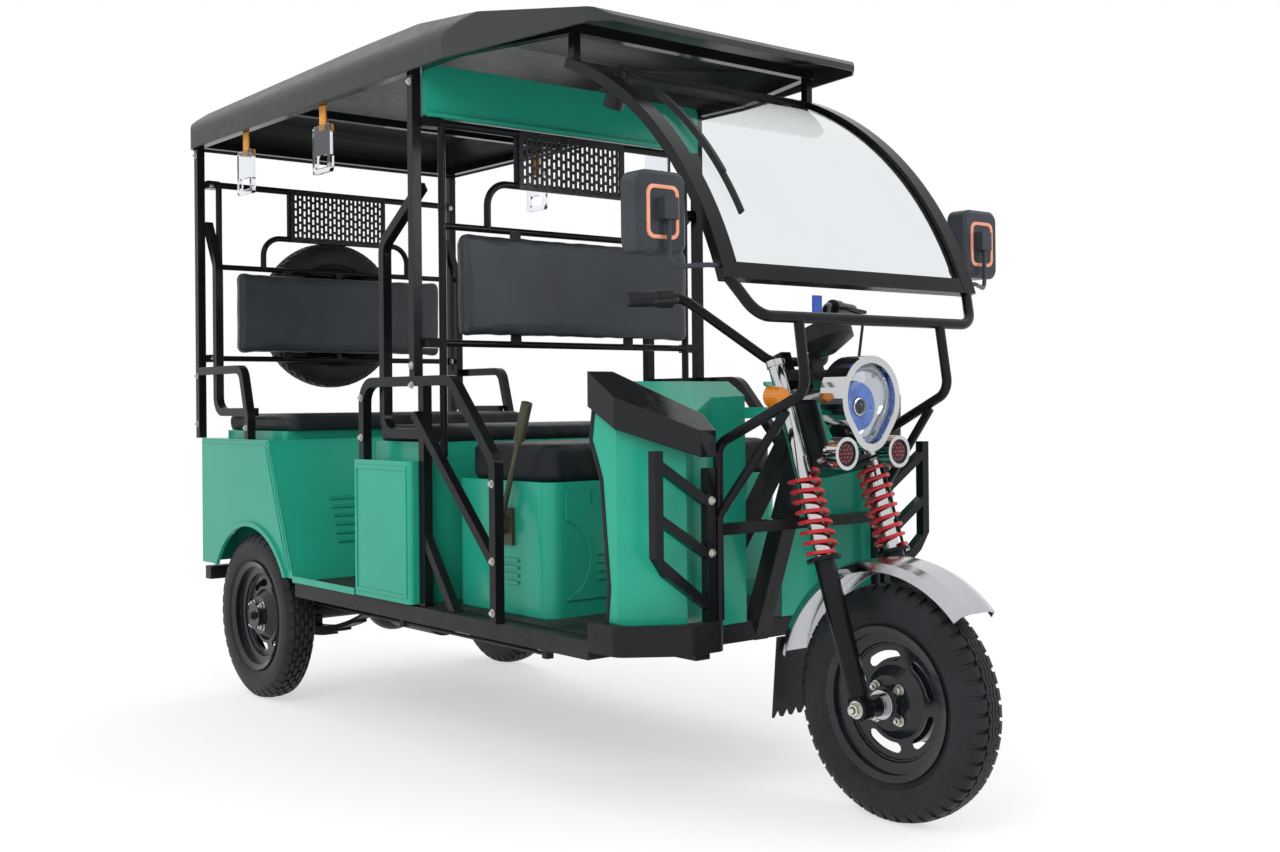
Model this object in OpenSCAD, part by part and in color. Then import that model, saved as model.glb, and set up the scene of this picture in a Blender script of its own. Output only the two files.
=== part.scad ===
// Battery three-wheeler for passengers: facing benches under a hard canopy, driver in front.
// Millimetres. X runs forward from the rear axle, Y to the vehicle's left, Z up from the ground.
// placed() then moves the whole to its reference point, the middle of its length on the ground.

/* [Wheels] */
// Distance between the front and rear axles
wheelbase = 2112; // [2060:1:2180]
// Distance between the middles of the rear tyres
rear_track = 873; // [860:1:876]
// Outer diameter of a tyre over its tread
tyre_d = 500; // [480:1:510]
// Width of a tyre
tyre_w = 95; // [85:1:100]
// Diameter of a rim over its flanges
rim_d = 326; // [310:1:336]
// Diameter of the front wheel's spindle
spindle_d = 16; // [14:1:20]
// Diameter of the rear half shafts
shaft_d = 30; // [26:1:34]
// Radial play between a wheel's bore and its shaft
bore_play = 0.05; // [0.02:0.01:0.1]

/* [Front fork] */
// Lean of the steering axis from upright, in degrees
rake = 18.5; // [17:0.5:20]
// Distance of the fork legs ahead of the steering axis
fork_offset = 45; // [40:1:50]
// Distance of a fork leg from the middle
leg_y = 111; // [108:1:116]
// Diameter of the chromed inner fork tubes
leg_d = 36; // [32:1:38]
// Diameter of the lower fork legs
slider_d = 45; // [42:1:48]
// Height of the lower yoke along the fork, above the spindle
yoke_low = 525; // [515:1:535]
// Height of the upper yoke along the fork, above the spindle
yoke_high = 725; // [715:1:735]
// Mean radius of a fork spring
spring_r = 33; // [31:1:35]
// Wire diameter of a fork spring
spring_wire = 9; // [7:0.5:10]
// Turns of a fork spring
spring_turns = 8; // [6:1:9]
// Diameter of the steering stem
stem_d = 30; // [26:1:32]
// Half of the handlebar's width
bar_half = 360; // [340:1:370]
// Height of the handlebar's grips
grip_z = 1112; // [1090:1:1130]
// Radius of the front mudguard
guard_r = 304; // [296:1:312]

/* [Body] */
// Half of the width over the side panels and posts
half_w = 490; // [486:1:500]
// Underside of the chassis rails
rail_z = 334; // [325:1:345]
// Height of the chassis rails
rail_h = 41; // [36:1:45]
// Thickness of the floor
deck_t = 5; // [4:0.5:8]
// Thickness of the pressed panels
sheet = 3; // [2:0.5:5]
// Width of the square frame tubes
tube = 25; // [22:1:28]
// Rear end of the body
tail_x = -357; // [-365:1:-350]
// Top of the rear side panels
belt_z = 785; // [775:1:800]
// Radius of the rear wheel arches
arch_r = 272; // [262:1:280]
// Rear end of the middle seat box
mid_rear_x = 651; // [640:1:660]
// Front end of the middle seat box
mid_front_x = 945; // [935:1:946]
// Top of the middle seat box
mid_top_z = 742; // [730:1:750]
// Front end of the driver's seat box
box_front_x = 1390; // [1370:1:1400]
// Half of the width of the driver's seat box
box_half = 380; // [360:1:390]
// Top of the driver's seat box
box_top_z = 700; // [690:1:710]
// Height of the armrests' tops
arm_z = 958; // [940:1:975]

/* [Seats] */
// Thickness of the rear bench's cushion
rear_cushion_h = 52; // [40:1:70]
// Thickness of the middle bench's cushion
mid_cushion_h = 43; // [35:1:60]
// Thickness of the driver's cushion
driver_cushion_h = 90; // [70:1:100]
// Thickness of the seat back pads
pad_t = 45; // [35:1:50]
// Lower edge of the seat back pads
pad_low = 1052; // [1050:1:1070]
// Upper edge of the seat back pads
pad_high = 1330; // [1300:1:1335]
// Half of the width of the seat back pads
pad_half = 388; // [370:1:392]
// Diameter of the seat back tubes
back_tube = 20; // [18:1:22]

/* [Canopy] */
// Lower edge of the roof
lip_z = 1722; // [1712:1:1735]
// Top of the roof at its ridge
ridge_z = 1882; // [1870:1:1895]
// Half of the roof's width
roof_half = 505; // [500:1:515]
// Rear end of the roof
roof_tail_x = -430; // [-440:1:-420]
// Front end of the roof
roof_nose_x = 1660; // [1645:1:1675]
// Thickness of the roof's shell
roof_t = 6; // [4:1:8]
// Radius of the windscreen's curve
screen_r = 850; // [830:1:870]
// Half of the windscreen's width, over its frame
screen_half = 400; // [390:1:405]
// Thickness of the windscreen
glass_t = 5; // [4:0.5:6]

/* [Hidden] */
$fn = 48;

GREEN = [0.10, 0.58, 0.46];
BLACK = [0.06, 0.06, 0.07];
VINYL = [0.15, 0.16, 0.18];
STEEL = [0.75, 0.76, 0.78];
RUBBER = [0.09, 0.09, 0.09];
AMBER = [0.95, 0.55, 0.05];
RED = [0.70, 0.08, 0.10];

tyre_r = tyre_d / 2;
// Rear brake plates inside the tyres, and the springs and chassis rails inside the plates
brake_plate_inset = 34;
spring_inset = 65;
brake_plate_y_rear = (rear_track - tyre_w) / 2 - brake_plate_inset;
deck_z = rail_z + rail_h + deck_t;
side_mid = half_w - tube / 2;

// Welds between straight and bent tube: a shallow groove bridged by a core a little thinner
weld_gap = 0.2;
weld_step = 0.1;
weld_reach = 1;

// Spare wheel, upright behind the rear seat back
back_rear_x = -360;
spare_gap = 2;
spare_x = back_rear_x - back_tube / 2 - spare_gap - tyre_w / 2;
spare_z = 1198;

// Middle of the overall length, from the spare tyre to the front tyre
mid_x = (wheelbase + tyre_r + spare_x - tyre_w / 2) / 2;

module placed() translate([-mid_x, 0, 0]) children();

module both_sides() {
    children();
    mirror([0, 1, 0]) children();
}

// Outline in X and Z, drawn out across the vehicle between two values of Y
module across(y_low, y_high)
    translate([0, y_high, 0]) rotate([90, 0, 0]) linear_extrude(y_high - y_low) children();

// Outline in Y and Z, drawn out along the vehicle between two values of X
module lengthwise(x_low, x_high)
    translate([x_low, 0, 0]) rotate([90, 0, 90]) linear_extrude(x_high - x_low) children();

// Outline in X and Y, drawn up between two heights
module upright(z_low, z_high) translate([0, 0, z_low]) linear_extrude(z_high - z_low) children();

function unit(v) = v / norm(v);

// Convex outline with its corners rounded to one radius
function to_last(p, i) = unit(p[(i + len(p) - 1) % len(p)] - p[i]);
function to_next(p, i) = unit(p[(i + 1) % len(p)] - p[i]);
function half_corner(p, i) = acos(to_last(p, i) * to_next(p, i)) / 2;
module rounded(p, r) {
    polygon([for (i = [0:len(p) - 1]) let (cut = r / tan(half_corner(p, i)))
        each [p[i] + cut * to_last(p, i), p[i] + cut * to_next(p, i)]]);
    for (i = [0:len(p) - 1])
        translate(p[i] + unit(to_last(p, i) + to_next(p, i)) * r / sin(half_corner(p, i))) circle(r);
}
// Outline of one side as y and z, closed by the same points on the other side
function mirrored(p) = concat(p, [for (i = [len(p) - 1:-1:0]) [-p[i][0], p[i][1]]]);
function box_points(x_low, x_high, y_low, y_high) =
    [[x_low, y_low], [x_high, y_low], [x_high, y_high], [x_low, y_high]];

// Moves what stands on the XY plane so that it runs from a towards b
module along(a, b) {
    t = unit(b - a);
    s = abs(t[2]) > 0.999 ? [0, 1, 0] : unit(cross([0, 0, 1], t));
    u = cross(t, s);
    multmatrix([[s[0], u[0], t[0], a[0]], [s[1], u[1], t[1], a[1]], [s[2], u[2], t[2], a[2]], [0, 0, 0, 1]])
        children();
}
module section(w, round) {
    if (round) circle(d = w);
    else square(w, center = true);
}
module bar(a, b, w, round = false) along(a, b) linear_extrude(norm(b - a)) section(w, round);

// Tube bent at each inner point of a path
function bend_turn(path, i) = acos(unit(path[i] - path[i - 1]) * unit(path[i + 1] - path[i]));
function setback(path, i, r) = (i == 0 || i == len(path) - 1) ? 0 : r * tan(bend_turn(path, i) / 2);
module elbow(path, i, bend) {
    t = unit(path[i] - path[i - 1]);
    next = unit(path[i + 1] - path[i]);
    n = unit(next - t * (next * t));
    b = cross(t, n);
    c = path[i] - t * setback(path, i, bend) + n * bend;
    multmatrix([[-n[0], t[0], b[0], c[0]], [-n[1], t[1], b[1], c[1]], [-n[2], t[2], b[2], c[2]], [0, 0, 0, 1]])
        rotate_extrude(angle = bend_turn(path, i)) translate([bend, 0]) children();
}
module bent(path, w, bend, round = false) {
    last = len(path) - 2;
    for (i = [0:last]) {
        t = unit(path[i + 1] - path[i]);
        a = path[i] + t * (setback(path, i, bend) + (i > 0 ? weld_gap : 0));
        b = path[i + 1] - t * (setback(path, i + 1, bend) + (i < last ? weld_gap : 0));
        bar(a, b, w, round);
        bar(a - t * (i > 0 ? weld_reach : -weld_reach), b + t * (i < last ? weld_reach : -weld_reach),
            w - weld_step, round);
    }
    for (i = [1:1:last]) elbow(path, i, bend) section(w, round);
}

// Box with upright edges rounded, then its top edge eased by a smaller box
module cushion(low, high, r, ease) hull() {
    for (x = [low[0] + r, high[0] - r], y = [low[1] + r, high[1] - r]) translate([x, y, low[2]]) {
        cylinder(r = r, h = high[2] - low[2] - ease, $fn = 24);
        cylinder(r = r - ease, h = high[2] - low[2], $fn = 24);
    }
}

// Fork frame: origin on the spindle, z up along the legs
module in_fork() translate([wheelbase, 0, tyre_r]) rotate([0, -rake, 0]) children();
function fork_point(x, y, z) =
    [wheelbase + x * cos(rake) - z * sin(rake), y, tyre_r + x * sin(rake) + z * cos(rake)];
head_low = yoke_low + 20;
head_high = yoke_high - 15;
head_d = 54;
stem_play = 0.05;

// Wheels: axis along Y, middle at the origin
bead_half = 33;
flange_h = 11;
seat_r = rim_d / 2 - flange_h;
// Outline of a ring's section, closed by the same points on the other side of the middle
function two_sided(p) = concat(p, [for (i = [len(p) - 1:-1:0]) [p[i][0], -p[i][1]]]);
// One side of a tyre's section from the bead to the tread: radius, distance from the middle
function tyre_side() = let (half = tyre_w / 2) [
    [seat_r, bead_half],
    [seat_r + 14, bead_half + 3],
    [seat_r + 34, half],
    [tyre_r - 25, half - 1.5],
    [tyre_r - 4, half - 15],
    [tyre_r, half - 35]
];
module tyre() rotate([90, 0, 0]) rotate_extrude($fn = 96) polygon(two_sided(tyre_side()));

rim_t = 4;
well_drop = 22;
well_half = 14;
ledge_half = 20;
well_r = seat_r - well_drop;
// One side of a rim's section from the well over the flange and back: radius, distance from the middle
function rim_side() = let (flange = rim_d / 2, inner = seat_r - rim_t) [
    [well_r, well_half],
    [seat_r, ledge_half],
    [seat_r, bead_half],
    [seat_r + 3, bead_half + 2],
    [flange, bead_half + 6],
    [flange, bead_half + 9],
    [inner, bead_half + 3],
    [inner, ledge_half],
    [well_r - rim_t, well_half]
];
disc_y = 6;
disc_t = 5;
boss_rise = 20;
hub_half = 44;
hub_d = 74;
boss_r = hub_d / 2 + 21;
boss_foot_r = boss_r + 20;
// Raised ring between the slots and the rim: inner radius, outer radius, rise
bead_ring = [119, 126, 4];
// Wheel disc from the hub to the rim: radius, distance outward
disc_face = [
    [hub_d / 2 - 2, disc_y + boss_rise],
    [boss_r, disc_y + boss_rise],
    [boss_foot_r, disc_y],
    [bead_ring[0], disc_y],
    [bead_ring[0] + 2, disc_y + bead_ring[2]],
    [bead_ring[1] - 2, disc_y + bead_ring[2]],
    [bead_ring[1], disc_y],
    [well_r - 1, disc_y]
];
function disc_section() = concat(disc_face,
    [for (i = [len(disc_face) - 1:-1:0]) if (i < 4 || i == len(disc_face) - 1) disc_face[i] - [0, disc_t]]);
drum_d = 184;
drum_wall = 6;
drum_gap = 12;
slot_count = 5;
slot_r = 97;
sleeve_d = 46;
sleeve_flange_d = 62;
// Curved slot through a wheel disc, its ends stepped towards a round: width, turn in degrees
slot_cuts = [[22, 44], [18, 49], [11, 53]];
module wheel_slot() for (c = slot_cuts)
    rotate_extrude(angle = c[1], start = -c[1] / 2) translate([slot_r - c[0] / 2, -2 * disc_t])
        square([c[0], 4 * disc_t]);
// Rim with its disc bulging to -Y, its hub, a sleeve beyond the hub, and a brake drum that may reach to +Y
module rim(bore_d, hub_out, drum_l = 0) rotate([90, 0, 0]) difference() {
    union() {
        rotate_extrude($fn = 96) polygon(two_sided(rim_side()));
        rotate_extrude($fn = 96) polygon(disc_section());
        translate([0, 0, -hub_half]) cylinder(d = hub_d, h = 2 * hub_half);
        if (hub_out > hub_half) {
            cylinder(d = sleeve_d, h = hub_out);
            translate([0, 0, hub_half]) cylinder(d = sleeve_flange_d, h = (hub_out - hub_half) / 3);
        }
        if (drum_l > 0) translate([0, 0, -drum_l]) difference() {
            cylinder(d = drum_d, h = drum_l - drum_gap);
            translate([0, 0, -1]) cylinder(d = drum_d - 2 * drum_wall, h = drum_l - drum_gap - drum_wall);
        }
    }
    translate([0, 0, -2 * hub_half]) cylinder(d = bore_d + 2 * bore_play, h = 4 * hub_half);
    for (i = [0:slot_count - 1]) rotate((i + 0.5) * 360 / slot_count) translate([0, 0, disc_y]) wheel_slot();
}

// Chassis
rail_w = 40;
outer_rail_y = half_w - 15 - rail_w / 2;
inner_rail_y = brake_plate_y_rear - spring_inset;
outer_rail_front = 1660;
recess_x = 1690;
step_x = 300;
// Places of the cross rails that reach from side to side
cross_rails = [step_x - 10, mid_rear_x, mid_front_x + 14, 1320, outer_rail_front - 20];
column_x = 1480;
rod_y = 335;
rod_z = 287;
rod_d = 10;
rod_rear_x = 60;
module rail(x_low, x_high, y) translate([x_low, y - rail_w / 2, rail_z]) cube([x_high - x_low, rail_w, rail_h]);
module cross_rail(x, half) translate([x - rail_w / 2, -half, rail_z]) cube([rail_w, 2 * half, rail_h]);
// Tubes from the floor to the steering head
module head_tubes(grow) {
    middle = (head_low + head_high) / 2;
    bar([recess_x - 5, 0, rail_z + 5], fork_point(-fork_offset - 10, 0, middle), 44 + grow);
    bar([column_x, 0, rail_z + 5], fork_point(-fork_offset - 10, 0, head_high - 40), 36 + grow);
}
module chassis_frame() placed() color(BLACK) difference() {
    union() {
        both_sides() {
            rail(step_x - 30, outer_rail_front, outer_rail_y);
            rail(tail_x + 10, nose_x - nose_t, inner_rail_y);
        }
        cross_rail(tail_x + 30, half_w - sheet - 2);
        for (x = cross_rails) cross_rail(x, half_w - 15);
        cross_rail(recess_x, inner_rail_y + rail_w / 2);
        rail(column_x - rail_w / 2, recess_x, 0);
        in_fork() translate([-fork_offset, 0, head_low]) cylinder(d = head_d, h = head_high - head_low);
        head_tubes(0);
        // Rod of the rear brakes, hung under two cross rails
        bar([rod_rear_x, -rod_y, rod_z], [cross_rails[3], -rod_y, rod_z], rod_d, true);
        for (i = [1, 3]) translate([cross_rails[i] - rod_d, -rod_y - rod_d, rod_z - rod_d])
            cube([2 * rod_d, 2 * rod_d, rail_z - rod_z + rod_d + 1]);
    }
    in_fork() translate([-fork_offset, 0, head_low - 5])
        cylinder(d = stem_d + 2 * stem_play, h = head_high - head_low + 10);
}

// Floor, with a recess in front for the steered wheel
wing_y = 236;
nose_x = 1850;
nose_rear_x = 1600;
nose_bend_x = 1760;
nose_taper = 140;
function nose_points(t) = [
    [nose_rear_x, half_w - 15 - t],
    [nose_bend_x, half_w - 15 - t],
    [nose_x - t, half_w - nose_taper],
    [nose_x - t, wing_y + t],
    [nose_rear_x, wing_y + t]
];
nose_t = 26;
nose_h = 65;
nose_z = rail_z + 18;
floor_half = half_w - 2 * tube - 2;
function floor_edge() = let (t = nose_t + 4, n = nose_points(t))
    [[step_x, floor_half], [n[0][0] + 40, floor_half], [n[0][0] + 40, n[0][1]], n[1], n[2], n[3],
     [recess_x + 20, wing_y + t]];
// Field pressed up between the benches: inset from its neighbours, rise, corner
field_inset = 12;
field_rise = 3;
field_round = 10;
module floor_deck() placed() color(GREEN) difference() {
    edge = floor_edge();
    last = len(edge) - 1;
    union() {
        upright(deck_z - deck_t, deck_z) polygon(concat(edge, [for (i = [last:-1:0]) [edge[i][0], -edge[i][1]]]));
        upright(deck_z - deck_t / 2, deck_z + field_rise) rounded(box_points(step_x + field_inset,
            mid_rear_x - field_inset, -floor_half + field_inset, floor_half - field_inset), field_round);
    }
    head_tubes(2);
}
module nose_bumper() placed() color(BLACK) both_sides() upright(nose_z, nose_z + nose_h) intersection() {
    difference() {
        rounded(nose_points(0), 34);
        rounded(nose_points(nose_t), 8);
    }
    // Open towards the rear
    polygon([
        [outer_rail_front, half_w],
        [outer_rail_front, half_w - 80],
        [nose_x - 50, wing_y + nose_t],
        [nose_x - 50, wing_y],
        [nose_x + 10, wing_y],
        [nose_x + 10, half_w]
    ]);
}

// Leg shield: two wings that stand ahead of the steering column's recess
shield_side = 446;
shield_wall = 5;
shield_tip = [1800, 312];
shield_shoulder_x = 1728;
shield_root = [1722, 165];
cowl_half = 62;
shield_rear_x = 1600;
// Front edge seen from above, from one side to the other
function shield_plan(side) = let (half = [
    [shield_rear_x, -side],
    [shield_shoulder_x, -side],
    [shield_tip[0], -shield_tip[1]],
    [shield_root[0], -shield_root[1]]
]) concat(half, [[recess_x + 24, 0]], [for (i = [len(half) - 1:-1:0]) [half[i][0], -half[i][1]]]);
shield_top = [[1708, 905], [1885, 795]];
shield_slope = (shield_top[1][1] - shield_top[0][1]) / (shield_top[1][0] - shield_top[0][0]);
function shield_deck(x) = shield_top[0][1] + (x - shield_top[0][0]) * shield_slope;
// Rear edge of the shield's sides, from the floor up
shield_edge = [[1690, deck_z], [1702, 490], [1678, 722], [1642, 806], [1662, shield_deck(1662)]];
shield_front_x = shield_top[1][0];
shield_over = 1000;
module shield_form() intersection() {
    upright(deck_z, shield_over) polygon(shield_plan(shield_side));
    across(-shield_side - 5, shield_side + 5)
        polygon(concat(shield_edge, [[shield_front_x, shield_deck(shield_front_x)], [shield_front_x, deck_z]]));
}
cowl_x = [1690, 1800];
cowl_round = 30;
module leg_shield() placed() color(GREEN) difference() {
    union() {
        shield_form();
        // Cowl round the steering head
        upright(shield_deck(cowl_x[1]), fork_point(0, 0, head_high)[2] - 50)
            rounded(box_points(cowl_x[0], cowl_x[1], -cowl_half, cowl_half), cowl_round);
    }
    translate([-shield_wall, 0, -shield_wall]) intersection() {
        upright(deck_z - 20, shield_over) polygon(shield_plan(shield_side - shield_wall));
        across(-shield_side, shield_side) polygon([
            [shield_rear_x - 40, deck_z - 20],
            [shield_rear_x - 40, shield_deck(shield_rear_x - 40)],
            [shield_front_x, shield_deck(shield_front_x)],
            [shield_front_x, deck_z - 20]
        ]);
    }
    upright(deck_z - 20, shield_over) rounded(box_points(shield_rear_x, cowl_x[1] - shield_wall,
        -cowl_half + shield_wall, cowl_half - shield_wall), cowl_round - 3);
    in_fork() translate([-fork_offset, 0, head_low - 40]) cylinder(d = head_d + 10, h = 400);
}

// Dark caps along the wings' upper front edges
cap_drop = 62;
cap_rise = 14;
// Outline of a cap from above, and the ends of its side view
cap_plan = [[1650, 462], [1742, 462], [1858, 322], [1858, 278], [1800, 266], [1650, 392]];
cap_x = [1650, 1860];
module leg_shield_caps() placed() color(BLACK) both_sides() difference() {
    intersection() {
        upright(700, shield_over) polygon(cap_plan);
        across(200, 480) polygon([
            [cap_x[0], shield_deck(cap_x[0]) - cap_drop],
            [cap_x[0], shield_deck(cap_x[0]) + cap_rise],
            [cap_x[1], shield_deck(cap_x[1]) + cap_rise],
            [cap_x[1], shield_deck(cap_x[1]) - cap_drop + 20]
        ]);
    }
    // Seat over the shield's own form
    intersection() {
        upright(600, shield_over) polygon(shield_plan(shield_side));
        across(-500, 500) polygon([
            [shield_rear_x, 600],
            [shield_rear_x, shield_deck(shield_rear_x)],
            [shield_front_x + 5, shield_deck(shield_front_x + 5)],
            [shield_front_x + 5, 600]
        ]);
    }
}

// Guards of square tube in front of the shield's wings
guard_x = 1836;
guard_tube = 22;
guard_out = 428;
guard_in = 282;
// Slanting bars: height at the outer post, height at the inner post
guard_bars = [[752, 676], [640, 564]];
// Outline of the guard's frame across the vehicle, and its windows between the bars, as y and z
post_bend = 30;
post_half = guard_tube / 2;
guard_top = shield_deck(guard_x) - cap_drop + 22;
guard_inner_top = 745;
guard_low_out = 548;
guard_low_in = 455;
function guard_window(low, high) = [
    [guard_out - post_half, low[0] + post_half],
    [guard_out - post_half, high[0] - post_half],
    [guard_in + post_half, high[1] - post_half],
    [guard_in + post_half, low[1] + post_half]
];
module guard_frame() difference() {
    polygon([
        [guard_in - post_half, nose_z + nose_h],
        [guard_in + post_half, nose_z + nose_h],
        [guard_in + post_half, guard_low_in - post_half],
        [guard_out + post_half - post_bend, guard_low_out - post_half - post_bend / 2],
        [guard_out + post_half, guard_low_out + post_bend / 2],
        [guard_out + post_half, guard_top],
        [guard_out - post_half, guard_top],
        [guard_out - post_half, guard_bars[0][0] + post_half],
        [guard_in + post_half, guard_bars[0][1] + post_half],
        [guard_in + post_half, guard_inner_top],
        [guard_in - post_half, guard_inner_top]
    ]);
    polygon(guard_window(guard_bars[1], guard_bars[0]));
    polygon(guard_window([guard_low_out, guard_low_in], guard_bars[1]));
}
module leg_guards() placed() color(BLACK) both_sides()
    translate([guard_x - post_half, 0, 0]) rotate([90, 0, 90]) linear_extrude(guard_tube) guard_frame();

// Driver's seat box
box_rear_x = 985;
box_round = 42;
module seat_shell(low, high, r) difference() {
    upright(low[2], high[2]) rounded(box_points(low[0], high[0], low[1], high[1]), r);
    upright(low[2] - 1, high[2] - sheet)
        rounded(box_points(low[0] + sheet, high[0] - sheet, low[1] + sheet, high[1] - sheet), r - sheet);
}
// Field pressed forward on the box's front: stepped upper edge, as y and z
press_t = 3;
press_edge = [[330, 420], [330, 679], [257, 679], [257, 643], [197, 640], [182, 595]];
// Round scoops at the field's sides: y, z, radius
scoop = [356, 517, 97];
// Ribs across the field, in pairs: heights; inner and outer end
rib_heights = [528, 508, 487, 467];
rib_span = [60, 240];
rib_h = 7;
// Louvres in the box's sides: heights; rear end, length
louvre_heights = [452, 470, 488, 506];
louvre_x = 1208;
louvre_l = 62;
louvre_h = 8;
louvre_out = 5;
module driver_seat_box() placed() color(GREEN) {
    seat_shell([box_rear_x, -box_half, deck_z], [box_front_x, box_half, box_top_z], box_round);
    lengthwise(box_front_x - 1, box_front_x + press_t) difference() {
        polygon(mirrored(press_edge));
        for (side = [-1, 1]) translate([side * scoop[0], scoop[1]]) circle(scoop[2]);
    }
    both_sides() {
        for (z = rib_heights) translate([box_front_x, rib_span[0], z - rib_h / 2])
            cube([2 * press_t, rib_span[1] - rib_span[0], rib_h]);
        for (z = louvre_heights) across(box_half - 1, box_half + louvre_out)
            rounded(box_points(louvre_x, louvre_x + louvre_l, z, z + louvre_h), louvre_h / 2 - 0.1);
    }
}
module driver_cushion() placed() color(VINYL) cushion([box_rear_x + 30, -box_half - 2, box_top_z],
    [box_front_x + 8, box_half + 2, box_top_z + driver_cushion_h], 40, 20);

// Middle bench, facing rearward
plinth_h = 48;
bench_half = side_mid - 1.5 * tube - 4;
mid_cushion_z = mid_top_z + plinth_h;
// Frame pressed outward round the box's sides: inset, width, depth
side_frame = [14, 9, 3];
module mid_seat_box() placed() color(GREEN) {
    seat_shell([mid_rear_x, -half_w, deck_z], [mid_front_x, half_w, mid_top_z], 12);
    seat_shell([mid_rear_x + 12, -bench_half + 5, mid_top_z], [mid_front_x - 8, bench_half - 5, mid_cushion_z], 12);
    both_sides() across(half_w - 1, half_w + side_frame[2]) difference() {
        outer = side_frame[0];
        inner = side_frame[0] + side_frame[1];
        polygon(box_points(mid_rear_x + outer, mid_front_x - outer, deck_z + outer, mid_top_z - outer));
        polygon(box_points(mid_rear_x + inner, mid_front_x - inner, deck_z + inner, mid_top_z - inner));
    }
}
module mid_cushion() placed() color(VINYL) cushion([mid_rear_x + 4, -bench_half, mid_cushion_z],
    [mid_front_x + 16, bench_half, mid_cushion_z + mid_cushion_h], 30, 15);

// Rear bench over the wheel wells, its front wall sloping down to the floor
rear_top_front = 131;
rear_foot_front = 288;
well_y = (rear_track - tyre_w) / 2 - 20;
well_top = 575;
function rear_front_x(z) =
    rear_foot_front + (z - deck_z) * (rear_top_front - rear_foot_front) / (belt_z - deck_z);
// Louvres in the sloping wall: heights; inner end, length
wall_louvres = [484, 509, 534, 559, 584, 609];
wall_louvre_y = 226;
wall_louvre_l = 100;
rear_plinth = 25;
rail_top = rail_z + rail_h;
module rear_seat_box() placed() color(GREEN) {
    inner = half_w - sheet;
    // Top, with the plinth under the cushion
    upright(belt_z - sheet, belt_z) polygon(box_points(tail_x + sheet, rear_top_front - 1, -inner, inner));
    seat_shell([tail_x + 60, -bench_half + 5, belt_z],
        [rear_top_front - 12, bench_half - 5, belt_z + rear_plinth], 12);
    // Sloping front wall
    across(-inner, inner) polygon([[rear_top_front - sheet - 1, belt_z], [rear_top_front - 1, belt_z],
        [rear_front_x(rail_top) - 1, rail_top], [rear_front_x(rail_top) - sheet - 1, rail_top]]);
    both_sides() {
        for (z = wall_louvres) translate([rear_front_x(z) - 3, wall_louvre_y, z - louvre_h / 2])
            cube([3 + louvre_out, wall_louvre_l, louvre_h]);
        // Wheel wells
        across(well_y, well_y + sheet) polygon([[tail_x + sheet, rail_top], [tail_x + sheet, belt_z - 1],
            [rear_top_front - 2, belt_z - 1], [rear_front_x(rail_top) - 2, rail_top]]);
        translate([tail_x + sheet, well_y, well_top])
            cube([rear_front_x(well_top) - tail_x - sheet - 2, inner - well_y, sheet]);
    }
}
module rear_cushion() placed() color(VINYL) cushion([back_rear_x + 34, -bench_half, belt_z + rear_plinth],
    [rear_top_front + 40, bench_half, belt_z + rear_plinth + rear_cushion_h], 30, 15);

// Rear side panels with rolled wheel arches
arch_lip = 14;
sill_z = deck_z + 8;
// Beads: distances back from the front edge; width, depth
bead_steps = [8, 24];
bead_w = 8;
bead_out = 3;
module side_panel() {
    across(half_w - sheet, half_w) difference() {
        polygon([[tail_x, sill_z], [tail_x, belt_z], [rear_top_front, belt_z], [rear_foot_front, sill_z]]);
        translate([0, tyre_r]) circle(arch_r, $fn = 96);
    }
    // Rolled flange round the arch
    translate([0, half_w - sheet, tyre_r]) rotate([90, 0, 0]) intersection() {
        rotate_extrude($fn = 96) translate([arch_r, -8 - sheet]) square([arch_lip, 8 + sheet]);
        translate([-400, sill_z - tyre_r, -100]) cube([800, 400, 200]);
    }
    // Beads along the sloping front edge and under the belt
    for (d = bead_steps) across(half_w - 1, half_w + bead_out) polygon([
        [rear_front_x(belt_z - 20) - d, belt_z - 20],
        [rear_front_x(belt_z - 20) - d - bead_w, belt_z - 20],
        [rear_front_x(sill_z + 20) - d - bead_w, sill_z + 20],
        [rear_front_x(sill_z + 20) - d, sill_z + 20]
    ]);
    translate([tail_x + 8, half_w - 1, belt_z - 14]) cube([rear_top_front - tail_x - 16, bead_out + 1, bead_w]);
    // Sill under the foot space
    translate([rear_foot_front - 6, half_w - sheet, deck_z - 2])
        cube([mid_rear_x - rear_foot_front + 6, sheet, 18]);
}
module side_panels() placed() color(GREEN) both_sides() side_panel();
module tail_panel() placed() color(GREEN) lengthwise(tail_x, tail_x + sheet)
    polygon(box_points(-half_w + sheet, half_w - sheet, sill_z, belt_z));
lamp_w = 120;
lamp_h = 62;
lamp_t = 24;
lamp_inset = 40;
lamp_z = deck_z + 60;
module tail_lamps() placed() color(RED) both_sides() lengthwise(tail_x - lamp_t, tail_x)
    rounded(box_points(half_w - lamp_inset - lamp_w, half_w - lamp_inset, lamp_z, lamp_z + lamp_h), 16);

// Armrests: hoops of square tube with their braces
post_x = 949 + tube / 2;
rear_post_x = -390;
arm_front_x = 1318;
module above(z) intersection() {
    children();
    translate([-1000, -1000, z]) cube([4000, 2000, 2000]);
}
// Hoop beside the middle bench: x and z of its bends
arm_bend = [1135, 752];
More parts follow.
